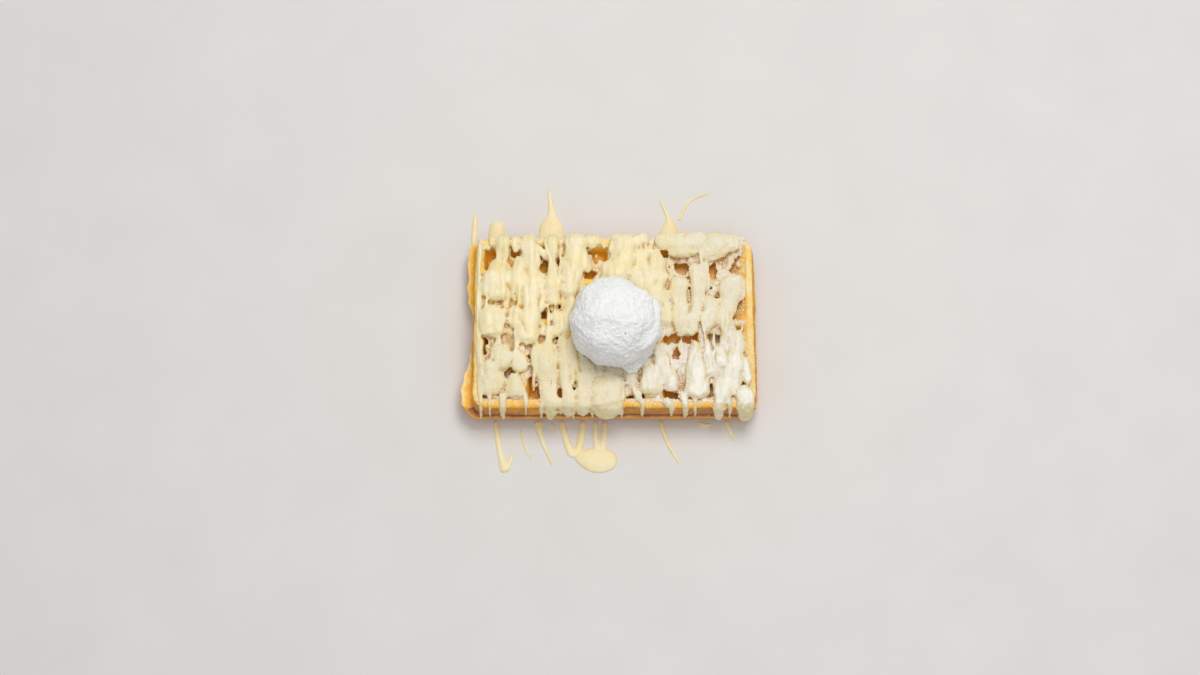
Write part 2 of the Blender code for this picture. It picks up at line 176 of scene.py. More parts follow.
# %% Nodes for the finishes
def new_material(name, roughness):
    """An empty finish: its node tree, its shader and the coordinates of the object, in millimetres."""
    made = bpy.data.materials.new(name)
    made.use_nodes = True
    tree = made.node_tree
    shader = tree.nodes["Principled BSDF"]
    shader.inputs["Roughness"].default_value = roughness
    coordinates = tree.nodes.new("ShaderNodeTexCoord")
    mapping = tree.nodes.new("ShaderNodeMapping")
    mapping.inputs["Scale"].default_value = (1 / MM, 1 / MM, 1 / MM)
    tree.links.new(coordinates.outputs["Object"], mapping.inputs["Vector"])
    print("finish:", name)
    return made, tree, shader, mapping.outputs["Vector"]


def noise_value(tree, place, per_mm, detail=3.0, roughness=0.55):
    """A noise pattern with this many features in a millimetre."""
    pattern = tree.nodes.new("ShaderNodeTexNoise")
    pattern.inputs["Scale"].default_value = per_mm
    pattern.inputs["Detail"].default_value = detail
    pattern.inputs["Roughness"].default_value = roughness
    tree.links.new(place, pattern.inputs["Vector"])
    return pattern.outputs["Fac"]


def attribute_value(tree, name):
    """A number that is painted on the piece's own vertices."""
    reader = tree.nodes.new("ShaderNodeAttribute")
    reader.attribute_name = name
    return reader.outputs["Fac"]


def arithmetic(tree, operation, first, second, clamp=False):
    """One step of arithmetic on two values, each a plain number or another node's output."""
    step = tree.nodes.new("ShaderNodeMath")
    step.operation = operation
    step.use_clamp = clamp
    for socket, value in zip(step.inputs, (first, second)):
        if isinstance(value, (int, float)):
            socket.default_value = value
        else:
            tree.links.new(value, socket)
    return step.outputs[0]


def linear(shade):
    """An sRGB colour out of 255 as the four linear numbers that a socket holds."""
    return (*(((c / 255 + 0.055) / 1.055) ** 2.4 for c in shade), 1)


def colour_ramp(tree, value, stops):
    """Turns a value into a colour: each stop is a position and an sRGB colour out of 255."""
    ramp = tree.nodes.new("ShaderNodeValToRGB")
    while len(ramp.color_ramp.elements) < len(stops):
        ramp.color_ramp.elements.new(0.5)
    for element, (position, shade) in zip(ramp.color_ramp.elements, stops):
        element.position = position
        element.color = linear(shade)
    tree.links.new(value, ramp.inputs["Fac"])
    return ramp.outputs["Color"]


def mix_colour(tree, share, first, second):
    """Mixes two colours, the second by this share."""
    blend = tree.nodes.new("ShaderNodeMix")
    blend.data_type = "RGBA"
    tree.links.new(share, blend.inputs["Factor"])
    for socket, shade in zip((blend.inputs[6], blend.inputs[7]), (first, second)):
        if isinstance(shade, tuple):
            socket.default_value = linear(shade)
        else:
            tree.links.new(shade, socket)
    return blend.outputs[2]


def add_bump(tree, shader, height, depth_mm, strength=1.0):
    """Gives the finish a fine relief of this depth."""
    bump = tree.nodes.new("ShaderNodeBump")
    bump.inputs["Strength"].default_value = strength
    bump.inputs["Distance"].default_value = depth_mm * MM
    tree.links.new(height, bump.inputs["Height"])
    tree.links.new(bump.outputs["Normal"], shader.inputs["Normal"])


# %% [markdown]
# ## The surface that it stands on
# A single wide plane in a pale warm grey keeps the attention on the food. It isn't part of the dish,
# so it is marked as stage.

# %% Pale surface
SURFACE_WIDTH = 6.0
SURFACE_GREYS = ((0.3, (221, 219, 216)), (0.7, (225, 223, 220)))
bpy.ops.object.select_all(action="DESELECT")
bpy.ops.mesh.primitive_plane_add(size=SURFACE_WIDTH, location=(0, 0, 0))
surface = bpy.context.object
surface.name = "pale_surface"
surface_finish, tree, shader, place = new_material("pale surface", 0.7)
shade = colour_ramp(tree, noise_value(tree, place, 0.02), SURFACE_GREYS)
tree.links.new(shade, shader.inputs["Base Color"])
surface.data.materials.append(surface_finish)

# %% [markdown]
# ## The crust
# The real waffle is batter baked between two irons: a flat cake with four rows of six pockets on each
# face, a rounded edge, and a thin uneven lip where batter was pressed out between the irons. It could
# be made from one pocket and arrays, but the outer edge differs all round, so a whole block is cut
# into a grid with bisect, and the pockets are extruded inwards one by one. The sizes are those of
# the solid.

# %% Sizes of the waffle, in millimetres
HEIGHT = 25.0
PITCH_X, PITCH_Y = 24.6, 22.9
COLUMNS, ROWS = 6, 4
RIDGE = 3.4
RIM_EXTRA = 0.6
HALF_X = (COLUMNS * PITCH_X + RIDGE) / 2 + RIM_EXTRA
HALF_Y = (ROWS * PITCH_Y + RIDGE) / 2 + RIM_EXTRA
CORNER_RADIUS = 7.0
POCKET_DEPTH = 10.5
UNDER_DEPTH = 9.0
POCKET_HALF_X = (PITCH_X - RIDGE) / 2
POCKET_HALF_Y = (PITCH_Y - RIDGE) / 2
POCKET_DRAFT = 3.0
# The share by which the waffle is narrower at its back and wider at its front
BACK_TAPER = 0.010
print("waffle, in millimetres:", round(2 * HALF_X, 1), "by", round(2 * HALF_Y, 1), "by", HEIGHT)


def pocket_middles():
    """The middle of each pocket, with its column and row."""
    for column in range(COLUMNS):
        for row in range(ROWS):
            yield (column - (COLUMNS - 1) / 2) * PITCH_X, (row - (ROWS - 1) / 2) * PITCH_Y, column, row


# %% [markdown]
# The block starts as a cube of the waffle's size. Only its four upright edges are bevelled, because
# the corners of the iron are round when they are seen from above.

# %% Block of batter with rounded corners
bpy.ops.object.select_all(action="DESELECT")
bpy.ops.mesh.primitive_cube_add(size=1, location=(0, 0, HEIGHT / 2))
crust = bpy.context.object
crust.scale = (2 * HALF_X, 2 * HALF_Y, HEIGHT)
settle(crust)


def pick(piece, kind, wanted):
    """In edit mode, selects the verts, edges or faces that a rule wants, and nothing else."""
    bpy.ops.mesh.select_mode(type={"verts": "VERT", "edges": "EDGE", "faces": "FACE"}[kind])
    bpy.ops.mesh.select_all(action="DESELECT")
    shape = bmesh.from_edit_mesh(piece.data)
    for part in getattr(shape, kind):
        if wanted(part):
            part.select_set(True)
    shape.select_flush_mode()
    bmesh.update_edit_mesh(piece.data)


def upright(edge):
    """True for an edge that runs straight up."""
    along = edge.verts[1].co - edge.verts[0].co
    return along.xy.length < 1e-4


bpy.ops.object.mode_set(mode="EDIT")
pick(crust, "edges", upright)
bpy.ops.mesh.bevel(offset=CORNER_RADIUS, offset_type="OFFSET", segments=5, affect="EDGES")
print("block with rounded corners:", len(crust.data.vertices), "vertices before the grid is cut")

# %% [markdown]
# Bisect cuts the block along every pocket's edges. A few more cuts between them give the lip
# something to bend with, and seven level cuts follow the profile of the sides, with the seam where
# the two irons met.


# %% Cut the grid
def cut_across(axis, places):
    """Cuts the whole block at these places along one axis."""
    for where in places:
        point = [0.0, 0.0, 0.0]
        point[axis] = where
        direction = [0.0, 0.0, 0.0]
        direction[axis] = 1.0
        bpy.ops.mesh.select_all(action="SELECT")
        bpy.ops.mesh.bisect(plane_co=point, plane_no=direction)


CUT_SHARES = (-1, -0.35, 0.35, 1)


def grid_cuts(pitch, count, pocket_half):
    """Both edges of each pocket along one axis, and two places between them."""
    for number in range(count):
        middle = (number - (count - 1) / 2) * pitch
        for share in CUT_SHARES:
            yield middle + share * pocket_half


SEAM_LEVELS = (1.2, 10.4, 11.2, 12.8, 13.6, 15.0, 23.7)
cut_across(0, grid_cuts(PITCH_X, COLUMNS, POCKET_HALF_X))
cut_across(1, grid_cuts(PITCH_Y, ROWS, POCKET_HALF_Y))
cut_across(2, SEAM_LEVELS)
print("grid:", len(bmesh.from_edit_mesh(crust.data).faces), "faces")

# %% [markdown]
# Each pocket is extruded inwards from its face, and its floor is drawn in, so that the walls slope as
# they must to leave the iron. A bevel rounds the rims. An inset would do as well, but it would leave a
# second frame round every pocket.

# %% Press the pockets in from both faces
ON_LEVEL = 0.05
SHARP = math.radians(40)
RIM_ROUNDING = 1.2


def press(x, y, surface_z, inward, depth):
    """Extrudes one pocket inwards and draws its floor in, so that its walls slope."""

    def in_pocket(face):
        middle = face.calc_center_median()
        level = abs(middle.z - surface_z) < ON_LEVEL
        return level and abs(middle.x - x) < POCKET_HALF_X and abs(middle.y - y) < POCKET_HALF_Y

    pick(crust, "faces", in_pocket)
    bpy.ops.mesh.extrude_region_move(TRANSFORM_OT_translate={"value": (0, 0, inward * depth)})
    drawn_in = (1 - POCKET_DRAFT / POCKET_HALF_X, 1 - POCKET_DRAFT / POCKET_HALF_Y, 1)
    bpy.ops.transform.resize(value=drawn_in, center_override=(x, y, surface_z + inward * depth))


for x, y, column, row in pocket_middles():
    press(x, y, HEIGHT, -1, POCKET_DEPTH)
    press(x, y, 0.0, 1, UNDER_DEPTH)


def sharp_rim(edge):
    """True for an edge where a wall turns into the top or the bottom face."""
    on_face = all(abs(v.co.z - HEIGHT) < ON_LEVEL or abs(v.co.z) < ON_LEVEL for v in edge.verts)
    return on_face and len(edge.link_faces) == 2 and edge.calc_face_angle() > SHARP


pick(crust, "edges", sharp_rim)
bpy.ops.mesh.bevel(offset=RIM_ROUNDING, offset_type="OFFSET", segments=2, affect="EDGES")
bpy.ops.object.mode_set(mode="OBJECT")
print("pressed waffle:", len(crust.data.polygons), "faces")

# %% [markdown]
# The sides are drafted, widest at the seam, where the pressed-out batter stands proud as an uneven
# lip. It is thin at the back and the right, a little wider in front, and broad and ragged along the
# left side. Its reach there is a short table that is read at each place along the side. The walls of
# the last pockets on the right slope more than the others. The points are moved in code, because no
# operator knows this profile.

# %% Draft the sides and draw out the lip
SIDE_PROFILE = ((0.0, -0.9), (1.2, 0.1), (10.4, 2.2), (13.6, 1.7), (15.0, 2.0), (23.7, 0.4), (25.0, -0.3))
SIDE_EASING = 0.45
RIGHT_OUT = 1.0
LIP_LOW, LIP_HIGH = 11.2, 12.8
LIP_REACH, FRONT_LIP = 0.8, 0.8
LAST_WALL_OUT, LAST_WALL_IN = 1.5, 3.6
NEAR_RIM = 1.5
CRUST_VOXEL = 0.95
LAST_WALL = (COLUMNS - 1) / 2 * PITCH_X + POCKET_HALF_X
LEFT_LIP = ((-60, 3.6), (-46, 5.0), (-38, 6.0), (-28, 5.4), (-22, 2.8), (-13, 0.6), (0, 0.4), (11, 0.6))
LEFT_LIP += ((15, 3.4), (18, 4.6), (22, 3.2), (34, 4.0), (46, 4.2), (60, 2.4))


def between(table, where):
    """The value of a table of places and values, read off at one place."""
    for (start, low), (end, high) in zip(table, table[1:]):
        if start <= where <= end:
            return low + (high - low) * (where - start) / (end - start)
    return table[-1][1] if where > table[-1][0] else table[0][1]


def outward_at(x, y):
    """The direction straight out of the waffle's outline, and how far out of its core a point is."""
    core_x, core_y = HALF_X - CORNER_RADIUS, HALF_Y - CORNER_RADIUS
    away = Vector((x - max(-core_x, min(core_x, x)), y - max(-core_y, min(core_y, y))))
    return (away.normalized() if away.length else away), away.length


for vertex in crust.data.vertices:
    x, y, z = vertex.co
    outward, away = outward_at(x, y)
    if away > CORNER_RADIUS - 0.3:
        left, right = max(0.0, -outward.x), max(0.0, outward.x)
        reach = between(SIDE_PROFILE, z) * (1 - SIDE_EASING * left - SIDE_EASING * right) + RIGHT_OUT * right
        if LIP_LOW - 0.1 < z < LIP_HIGH + 0.1:
            reach += LIP_REACH * (1 - left) + left * between(LEFT_LIP, y) + FRONT_LIP * max(0.0, -outward.y)
        vertex.co.x += outward.x * reach
        vertex.co.y += outward.y * reach
    elif LAST_WALL - NEAR_RIM < x < LAST_WALL + NEAR_RIM and z > HEIGHT - NEAR_RIM:
        vertex.co.x += LAST_WALL_OUT
    elif x > LAST_WALL - POCKET_DRAFT - 0.5 and abs(z - HEIGHT + POCKET_DEPTH) < 0.2:
        vertex.co.x -= LAST_WALL_IN
    vertex.co.x *= 1 - BACK_TAPER * y / HALF_Y
even_out(crust, CRUST_VOXEL)
print("even mesh:", len(crust.data.polygons), "faces")

# %% [markdown]
# A baked crust is never quite flat: it swells, it has fine pores, and the broad lip curls up a little
# at its ragged edge. Each vertex moves along its normal by a sum of smooth noises. A Displace modifier
# could do that too, but the numbers of the curl are needed again for the browning.


# %% Baked unevenness
def mesh_arrays(piece):
    """The places and the normals of a mesh's vertices, as two arrays of rows."""
    count = len(piece.data.vertices)
    places, normals = np.empty(count * 3), np.empty(count * 3)
    piece.data.vertices.foreach_get("co", places)
    piece.data.vertices.foreach_get("normal", normals)
    return places.reshape(-1, 3), normals.reshape(-1, 3)


def move_along_normals(piece, distances):
    """Moves each vertex along its normal by its own distance, in millimetres."""
    places, normals = mesh_arrays(piece)
    piece.data.vertices.foreach_set("co", (places + normals * distances[:, None]).ravel())
    piece.data.update()


def noise_at(places, size, seed):
    """Smooth noise between about -1 and 1 at each place, with features of this size."""
    shift = Vector((seed * 17.3, seed * 9.1, seed * 4.7))
    return np.array([noise.noise(Vector(p) / size + shift) for p in places])


def layered_noise(places, layers):
    """Several noises on top of each other, each with its strength, feature size and seed."""
    return sum(strength * noise_at(places, size, seed) for strength, size, seed in layers)


CRUST_SWELL = ((0.55, 14.0, 1), (0.35, 5.0, 2))
PORE_SIZE, PORE_DEPTH = 1.9, 0.45
CURL_START = HALF_X + 3.4
CURL_SLOPE, CURL_WIDTH = 0.8, 2.5
LIP_RAGGEDNESS = 0.9
places, normals = mesh_arrays(crust)
pores = np.minimum(0.0, noise_at(places, PORE_SIZE, 3) + 0.25)
move_along_normals(crust, layered_noise(places, CRUST_SWELL) + PORE_DEPTH * pores)
places, normals = mesh_arrays(crust)
beyond = -places[:, 0] - CURL_START
lip_lift = np.where(beyond > 0, CURL_SLOPE * np.minimum(beyond, CURL_WIDTH), 0.0)
lifted = places.copy()
lifted[:, 2] += lip_lift
lifted[:, 0] += LIP_RAGGEDNESS * np.where(beyond > -1.5, noise_at(places, 3.5, 4), 0.0)
crust.data.vertices.foreach_set("co", lifted.ravel())
crust.data.update()
print("crust box:", [round(v, 1) for v in (*places.min(axis=0), *places.max(axis=0))])

# %% [markdown]
# ### What the oven and the sugar sieve did, with some painted light and shade
# The crust is palest on its rims and darkest on the floors of its pockets and along the seam. The
# front wall is darker still, partly browning and partly painted shade, and the back pockets and the
# last walls on the right are painted lighter, as painted light where shade falls in them. That all
# follows the shape, so it is worked out for each vertex and kept as an attribute called
# bake_and_painted_light. A second attribute, sugar, says how much icing sugar lies there: it falls
# from above, so it lies on what faces up, and more of it fell towards the right and the front.


# %% Paint the browning, with painted light and shade, and the sugar
def paint(piece, name, values):
    """Keeps one number for each vertex as an attribute of this name."""
    layer = piece.data.attributes.new(name, "FLOAT", "POINT")
    layer.data.foreach_set("value", np.asarray(values, dtype=np.float32))


def eased(values):
    """A smooth step from 0 to 1 for a whole array."""
    values = np.clip(values, 0.0, 1.0)
    return values * values * (3 - 2 * values)


def hump(values, middle, width):
    """A smooth hump of height 1 around one value, for a whole array."""
    return np.exp(-(((values - middle) / width) ** 2))


SUGAR_ALL_OVER, SUGAR_ON_RIGHT, SUGAR_IN_FRONT = 0.06, 0.44, 0.36


def sugar_fall(x, y):
    """How thickly the sugar fell here, from 0 to 1."""
    rightwards = eased((x + 25) / 80)
    frontwards = eased((-y + 5) / 30) * (1 - 0.6 * rightwards)
    return np.clip(SUGAR_ALL_OVER + SUGAR_ON_RIGHT * rightwards + SUGAR_IN_FRONT * frontwards, 0, 1)


RIM_WIDTH = 2.6
INSIDE_BAKE, FLOOR_BAKE, FLOOR_DEPTH = 0.18, 0.28, 9.5
# The front wall's value holds painted shade as well as browning: that side faces away from the lamps.
WALL_BAKE, UPRIGHT_BAKE, FRONT_BAKE_AND_SHADE = 0.20, 0.40, 0.62
SEAM_BAKE, SEAM_UP = 0.22, 13.9
LIP_PALENESS, LIP_UP = 0.22, 12.0
BAKE_MOTTLING = ((0.15, 9.0, 5), (0.12, 2.5, 6))
places, normals = mesh_arrays(crust)
x, y, z = places.T
deep = np.minimum(HEIGHT - z, np.where(z < HEIGHT / 2, z, HEIGHT))
core_x, core_y = HALF_X - RIM_WIDTH, HALF_Y - RIM_WIDTH
side = np.maximum(np.abs(x) - core_x, np.abs(y) - core_y) > 0
# Painted light: the back pockets and the last walls on the right are made lighter where shade falls in them.
painted_light_in_shade = (1 - 0.4 * eased((y - 8) / 20)) * (1 - 0.7 * eased((x - 62) / 6))
inside_bake_and_light = INSIDE_BAKE + FLOOR_BAKE * eased(deep / FLOOR_DEPTH) * painted_light_in_shade
front_wall = (y < -core_y) & (z < HEIGHT - 2)
upright_wall = 1 - eased(normals[:, 2] / 0.5)
# On the front wall, painted shade darkens the browning.
wall_bake_and_shade = np.where(front_wall, FRONT_BAKE_AND_SHADE, WALL_BAKE + UPRIGHT_BAKE * upright_wall)
level = z - lip_lift
seam_dark = (SEAM_BAKE + 0.16 * front_wall) * hump(level, SEAM_UP, 0.9)
lip_pale = -(LIP_PALENESS + 0.12 * (x < -core_x)) * hump(level, LIP_UP, 1.1)
top_edge = (-0.10 + 0.16 * (y < -core_y)) * eased((z - HEIGHT + 4.0) / 3.0)
bake_and_painted_light = np.where(side, wall_bake_and_shade + seam_dark + lip_pale + top_edge, inside_bake_and_light)
bake_and_painted_light += layered_noise(places, BAKE_MOTTLING)
# Painted on the crust: the browning, with painted shade on the front wall and painted light in the back
# pockets and on the last right walls.
paint(crust, "bake_and_painted_light", np.clip(bake_and_painted_light, 0, 1))
sheltered = 1 - 0.8 * eased((deep - 1.0) / 3.0)
sheltered *= 1 - 0.6 * (y < -core_y) - 0.35 * front_wall
sheltered *= 1 - 0.5 * (x < -core_x) - 0.4 * (x > core_x)
paint(crust, "sugar", sugar_fall(x, y) * sheltered * np.clip(normals[:, 2], 0, 1) ** 1.5)
print("browning from", round(float(bake_and_painted_light.min()), 2), "to", round(float(bake_and_painted_light.max()), 2))

# %% [markdown]
# The finish reads both attributes. A ramp turns the browning, with its painted light and shade,
# into colour, and a fine noise decides where between the grains of sugar the crust still shows.

# %% Crust finish
CRUST_SHADES = (
    (0.00, (255, 231, 166)),
    (0.18, (255, 206, 84)),
    (0.42, (255, 178, 34)),
    (0.66, (204, 138, 70)),
    (1.00, (132, 74, 38)),
)
SUGAR_WHITE = (252, 250, 246)
CRUST_GRAIN = 0.22
SUGAR_THRESHOLD, SUGAR_EDGE = 0.88, 5.0
crust_finish, tree, shader, place = new_material("baked crust", 0.62)
grain = noise_value(tree, place, 1.1, detail=4)
grainy_bake = arithmetic(tree, "MULTIPLY", grain, CRUST_GRAIN)
mottled = arithmetic(tree, "ADD", attribute_value(tree, "bake_and_painted_light"), grainy_bake)
crust_colour = colour_ramp(tree, arithmetic(tree, "SUBTRACT", mottled, CRUST_GRAIN / 2, clamp=True), CRUST_SHADES)


def sugar_share(tree, place):
    """Where grains of sugar cover the surface: the painted amount against a fine noise."""
    speckle = noise_value(tree, place, 1.7, detail=2, roughness=0.7)
    heaped = arithmetic(tree, "ADD", attribute_value(tree, "sugar"), speckle)
    over = arithmetic(tree, "SUBTRACT", heaped, SUGAR_THRESHOLD)
    return arithmetic(tree, "MULTIPLY", over, SUGAR_EDGE, clamp=True)


sugared = sugar_share(tree, place)
tree.links.new(mix_colour(tree, sugared, crust_colour, SUGAR_WHITE), shader.inputs["Base Color"])
add_bump(tree, shader, arithmetic(tree, "ADD", grain, sugared), 0.25)
crust.data.materials.append(crust_finish)

# %% [markdown]
# A finished piece is brought to metres, with its place in its own mesh. It is hung on the root, and
# the parts of the solid that it stands for are hidden.


# %% Hand the crust to the frame
def finish_piece(piece, name, slot, *nodes):
    """Brings a piece from millimetres to metres, shades it smooth, hangs it on the root and hides what it
    stands for.
    """
    piece.name = name
    piece.data.name = name
    settle(piece)
    piece.scale = (MM, MM, MM)
    settle(piece)
    bpy.ops.object.shade_smooth()
    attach(piece, "root")
    if nodes:
        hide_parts(*nodes)
    triangles = sum(len(face.vertices) - 2 for face in piece.data.polygons)
    print(f"{name}: {triangles} triangles")


finish_piece(crust, "waffle_crust", "waffle", "waffle")

# %% [markdown]
# ## The poured sauce
# White chocolate was poured in ropes, mostly along the short side, so they lie beside and across
# each other, sag a little over the pockets and hang down over the front and back edges. Each rope is
# drawn out from a disc: one extrusion for every station on its route, and each ring is then set to
# its station's width. A voxel remesh melts the ropes together as the warm sauce did.
#
# The routes are the solid's own, so the sauce lies where the solid says.

# %% Routes of the ropes
# How far each hangs down the back and the front, then its stations: x, y and width
ROPES = (
    (8, 0, ((-61, 46, 7.5), (-61, 38, 8), (-63.5, 29, 12), (-65, 22, 15), (-65, 12, 14))),
    (0, 0, ((-58, 36, 4), (-58.5, 20, 5), (-60, 6, 5))),
    (0, 0, ((-52, 38, 6), (-52.5, 25, 9), (-54, 12, 6))),
    (
        6,
        0,
        ((-47, 46, 9), (-45.5, 36, 10), (-45, 24, 10), (-45.5, 12, 10.5), (-46.5, -2, 14), (-48.5, -13, 14)),
    ),
    (0, 0, ((-53, 9, 8), (-54, -4, 11))),
    (0, 0, ((-42, 44, 3.5), (-36, 36, 3.5))),
    (9, 0, ((-34, 46, 8), (-33.5, 35, 5), (-33.5, 22, 9), (-34, 9, 9.5))),
    (8, 0, ((-21, 46, 13), (-20.5, 37, 14.5), (-22.5, 28, 13), (-25.5, 14, 8))),
    (0, 0, ((-22, 15, 5), (-25.5, 5, 5), (-26.5, -7, 4.5))),
    (0, 0, ((-32, 7, 6), (-30, -4, 7), (-40, -6, 7))),
    (9, 0, ((5, 46, 14), (6, 37, 15), (1, 28, 17), (-6, 20, 16), (-13, 13, 10))),
    (0, 0, ((13, 42, 14), (17, 34, 23), (20, 24, 22), (25, 12, 12), (27, 1, 7))),
    (12, 0, ((38.5, 46, 17), (39, 37, 17))),
    (10, 0, ((57, 46, 18), (58, 36, 17))),
    (0, 0, ((36.5, 26, 9), (36, 13, 11), (38, 2, 11), (39, -8, 8))),
    (0, 0, ((44.5, 34, 7), (46.5, 22, 8), (46.5, 11, 7.5), (43, -8, 4.5))),
    (0, 0, ((51.5, 36, 2.8), (52.5, 18, 2.8))),
    (0, 0, ((65, 27, 11), (65.5, 19, 16), (63, 10, 12), (62, -3, 6.5), (60.5, -20, 5))),
    (0, 0, ((54.5, 15, 9), (53.5, 3, 9), (52, -6, 4))),
    (0, 0, ((30, 12, 8), (28.5, -2, 7))),
    (0, 0, ((-64, 9, 13), (-66, 0, 16), (-66, -9, 14))),
    (0, 0, ((-73, -9, 4), (-73, -18, 4), (-72, -27, 6))),
    (0, 0, ((-64, -12, 10), (-62, -20, 12), (-57, -27, 12))),
    (0, 0, ((-54, -17, 8), (-50, -29, 10))),
    (0, 0, ((-68, -22, 10), (-67, -32, 14), (-65.5, -42, 12))),
    (0, 17, ((-59, -34, 5), (-60.5, -46, 4))),
    (0, 0, ((-54, -30, 10), (-53.5, -43, 12))),
    (0, 16, ((-38, -11, 11), (-37.5, -19, 17), (-37, -28, 14), (-34, -46, 8))),
    (0, 13, ((-27.5, -8, 6), (-26.5, -20, 8), (-25, -46, 5.5))),
    (0, 12, ((-21, -9, 6), (-17.5, -19, 11), (-15, -31, 12), (-16.5, -46, 8))),
    (0, 11, ((-3.5, -27, 20), (-3, -37, 19), (-3.2, -46.6, 19.2))),
    (0, 12, ((9, -26, 8), (11, -36, 6), (16, -47, 3))),
    (0, 0, ((17, -19, 9), (20.5, -30, 11), (20, -42, 12))),
    (0, 0, ((23, -12, 5), (26.5, -22, 8), (31, -32, 9), (33.5, -40, 9))),
    (0, 13, ((27, -45, 8), (32, -47, 3.6))),
    (0, 0, ((45, -11, 4), (45.5, -22, 9), (46, -31, 12), (46, -44, 15))),
    (0, 13, ((38, -40, 8), (39.5, -47, 4))),
    (0, 0, ((51, -10, 3), (52.5, -19, 5), (55, -32, 8))),
    (0, 0, ((60, -12, 5), (60, -28, 8))),
    (0, 17, ((67.5, -5, 9), (67.5, -16, 9), (65.5, -28, 13), (61, -38, 15), (58, -47, 7))),
    (0, 0, ((73, -20, 4), (74, -36, 5))),
    (0, 18, ((71.5, -37, 9), (72.4, -46.6, 10.4))),
)

# Thinner strands and lumps that the solid leaves out, in the same form
SMALL_ROPES = (
    (
        0,
        17,
        (
            (-73.4, 46, 2.4), (-74, 25, 2.6), (-74.2, 5, 2.4),
            (-74, -15, 3), (-73.4, -32, 2.6), (-72.6, -46.6, 2.4),
        ),
    ),
    (0, 15, ((-67, -40, 3), (-67.6, -46.6, 1.8))),
    (0, 13, ((-48, -40, 4), (-47.9, -46.6, 1.9))),
    (0, 15, ((-38, -40, 4), (-39.4, -46.6, 2.2))),
    (0, 11, ((-31, -41, 2), (-29, -46.6, 1.8))),
    (0, 15, ((-22.6, -38, 3), (-21.6, -46.6, 1.8))),
    (0, 14, ((-11, -42, 3), (-11.6, -46.6, 2.4))),
    (0, 15, ((-6, -42, 3), (-6.4, -46.6, 2.6))),
    (0, 13, ((-1, -42, 3), (-1.2, -46.6, 2.2))),
    (0, 15, ((4, -40, 5), (4.6, -46.6, 2.8))),
    (0, 12, ((44, -42, 4), (45, -46.6, 2.2))),
    (0, 14, ((63, -42, 5), (64, -46.6, 2.6))),
    (7, 0, ((29, 48, 11), (30, 41, 12))),
    (5, 0, ((45, 49, 13), (45.5, 41, 12))),
    (6, 0, ((65, 47.5, 10), (64, 40, 11))),
    (5, 0, ((-12, 48, 10), (-11, 42, 8))),
    (5, 0, ((14, 48, 11), (15, 42, 10))),
    (6, 0, ((-54, 47.5, 5), (-53.5, 40, 4))),
    (5, 0, ((-67, 47.5, 4), (-67, 43, 3))),
    (0, 0, ((-41, 30, 6), (-40, 16, 7), (-40, 6, 6))),
    (0, 0, ((-16, 40, 6), (-14, 28, 7))),
    (0, 0, ((-12, -33, 6), (-10, -43, 6))),
)
print(len(ROPES), "ropes of sauce and", len(SMALL_ROPES), "small ones")

# %% [markdown]
# A route is read off a smooth curve through its stations. `lie` says how high the rope's middle is:
# on a ridge it rests on top, over a pocket it sags, and under the scoop it is pressed down.

# %% How a rope lies
ROPE_LIFT = 1.5
ROPE_SAG = 2.6
SCOOP_X, SCOOP_Y = 0.5, -4.7
SCOOP_RADIUS = 24.0
UNDER_SCOOP_TOP = 26.9
THINNEST_ROPE, THICKER_BY, THICKEST_ROPE = 1.8, 0.42, 7.2


def smooth_route(stations, step):
    """Stations read off a smooth curve through the given ones, about a step apart."""
    points = [Vector(s) for s in stations]
    points = [2 * points[0] - points[1], *points, 2 * points[-1] - points[-2]]
    route = []
    for before, start, end, after in zip(points, points[1:], points[2:], points[3:]):
        parts = max(1, round((end - start).xy.length / step))
        for k in range(parts):
            t = k / parts
            swing = (2 * before - 5 * start + 4 * end - after) * t**2
            swing += (3 * start - before - 3 * end + after) * t**3
            route.append(0.5 * (2 * start + (end - before) * t + swing))
    return [*route, points[-2]]


def rope_height(width):
    """How thick a rope of this width is."""
    return min(THICKEST_ROPE, THINNEST_ROPE + THICKER_BY * width)


def over_pocket(x, y):
    """From 0 on a ridge to 1 over the middle of a pocket."""
    return (math.sin(math.pi * x / PITCH_X) * math.sin(math.pi * y / PITCH_Y)) ** 2


def lie(x, y, width):
    """The height of a rope's middle where it lies on the grid."""
    free = HEIGHT + min(ROPE_LIFT, 0.22 * rope_height(width)) - ROPE_SAG * over_pocket(x, y)
    away = math.hypot(x - SCOOP_X, y - SCOOP_Y) - (SCOOP_RADIUS + 3.5)
    under = UNDER_SCOOP_TOP - rope_height(width) / 2 - 0.2
    share = ease(away / 4)
    return free * share + min(free, under) * (1 - share)


print("a rope 10 mm wide is", round(rope_height(10), 1), "mm thick")

# %% [markdown]
# An end that hangs over the edge gets more stations down the wall. It stands out as the wall does and
# grows narrower. Along the rest of its route a rope wanders and swells a little, as poured sauce does.

# %% Hanging ends and whole paths
FLARE = 2.3
SEAM_HEIGHT = 12.0
PAST_EDGE, EDGE_DROP = 0.5, 2.5
HANGING_STEPS = 4
NARROWING = 0.13
WANDER, SWELLING = 0.06, 0.30


def hanging_end(x, side, width, length):
    """Stations down the wall at the back (side 1) or the front (side -1): x, y, width and height."""
    stations = [
        (x, side * (HALF_Y - 0.8), width, HEIGHT + 0.45),
        (x, side * (HALF_Y + PAST_EDGE), width, HEIGHT - EDGE_DROP),
    ]
    for k in range(1, HANGING_STEPS + 1):
        z = HEIGHT - EDGE_DROP - k / HANGING_STEPS * (length - EDGE_DROP)
        y = HALF_Y + PAST_EDGE + FLARE * min(1.0, (HEIGHT - z) / (HEIGHT - SEAM_HEIGHT))
        stations.append((x, side * y, width * (1 - NARROWING * k), z))
    return stations


def noise_here(x, y, layer):
    """Smooth noise at one place, with another pattern for each layer."""
    return noise.noise(Vector((x, y, layer)))


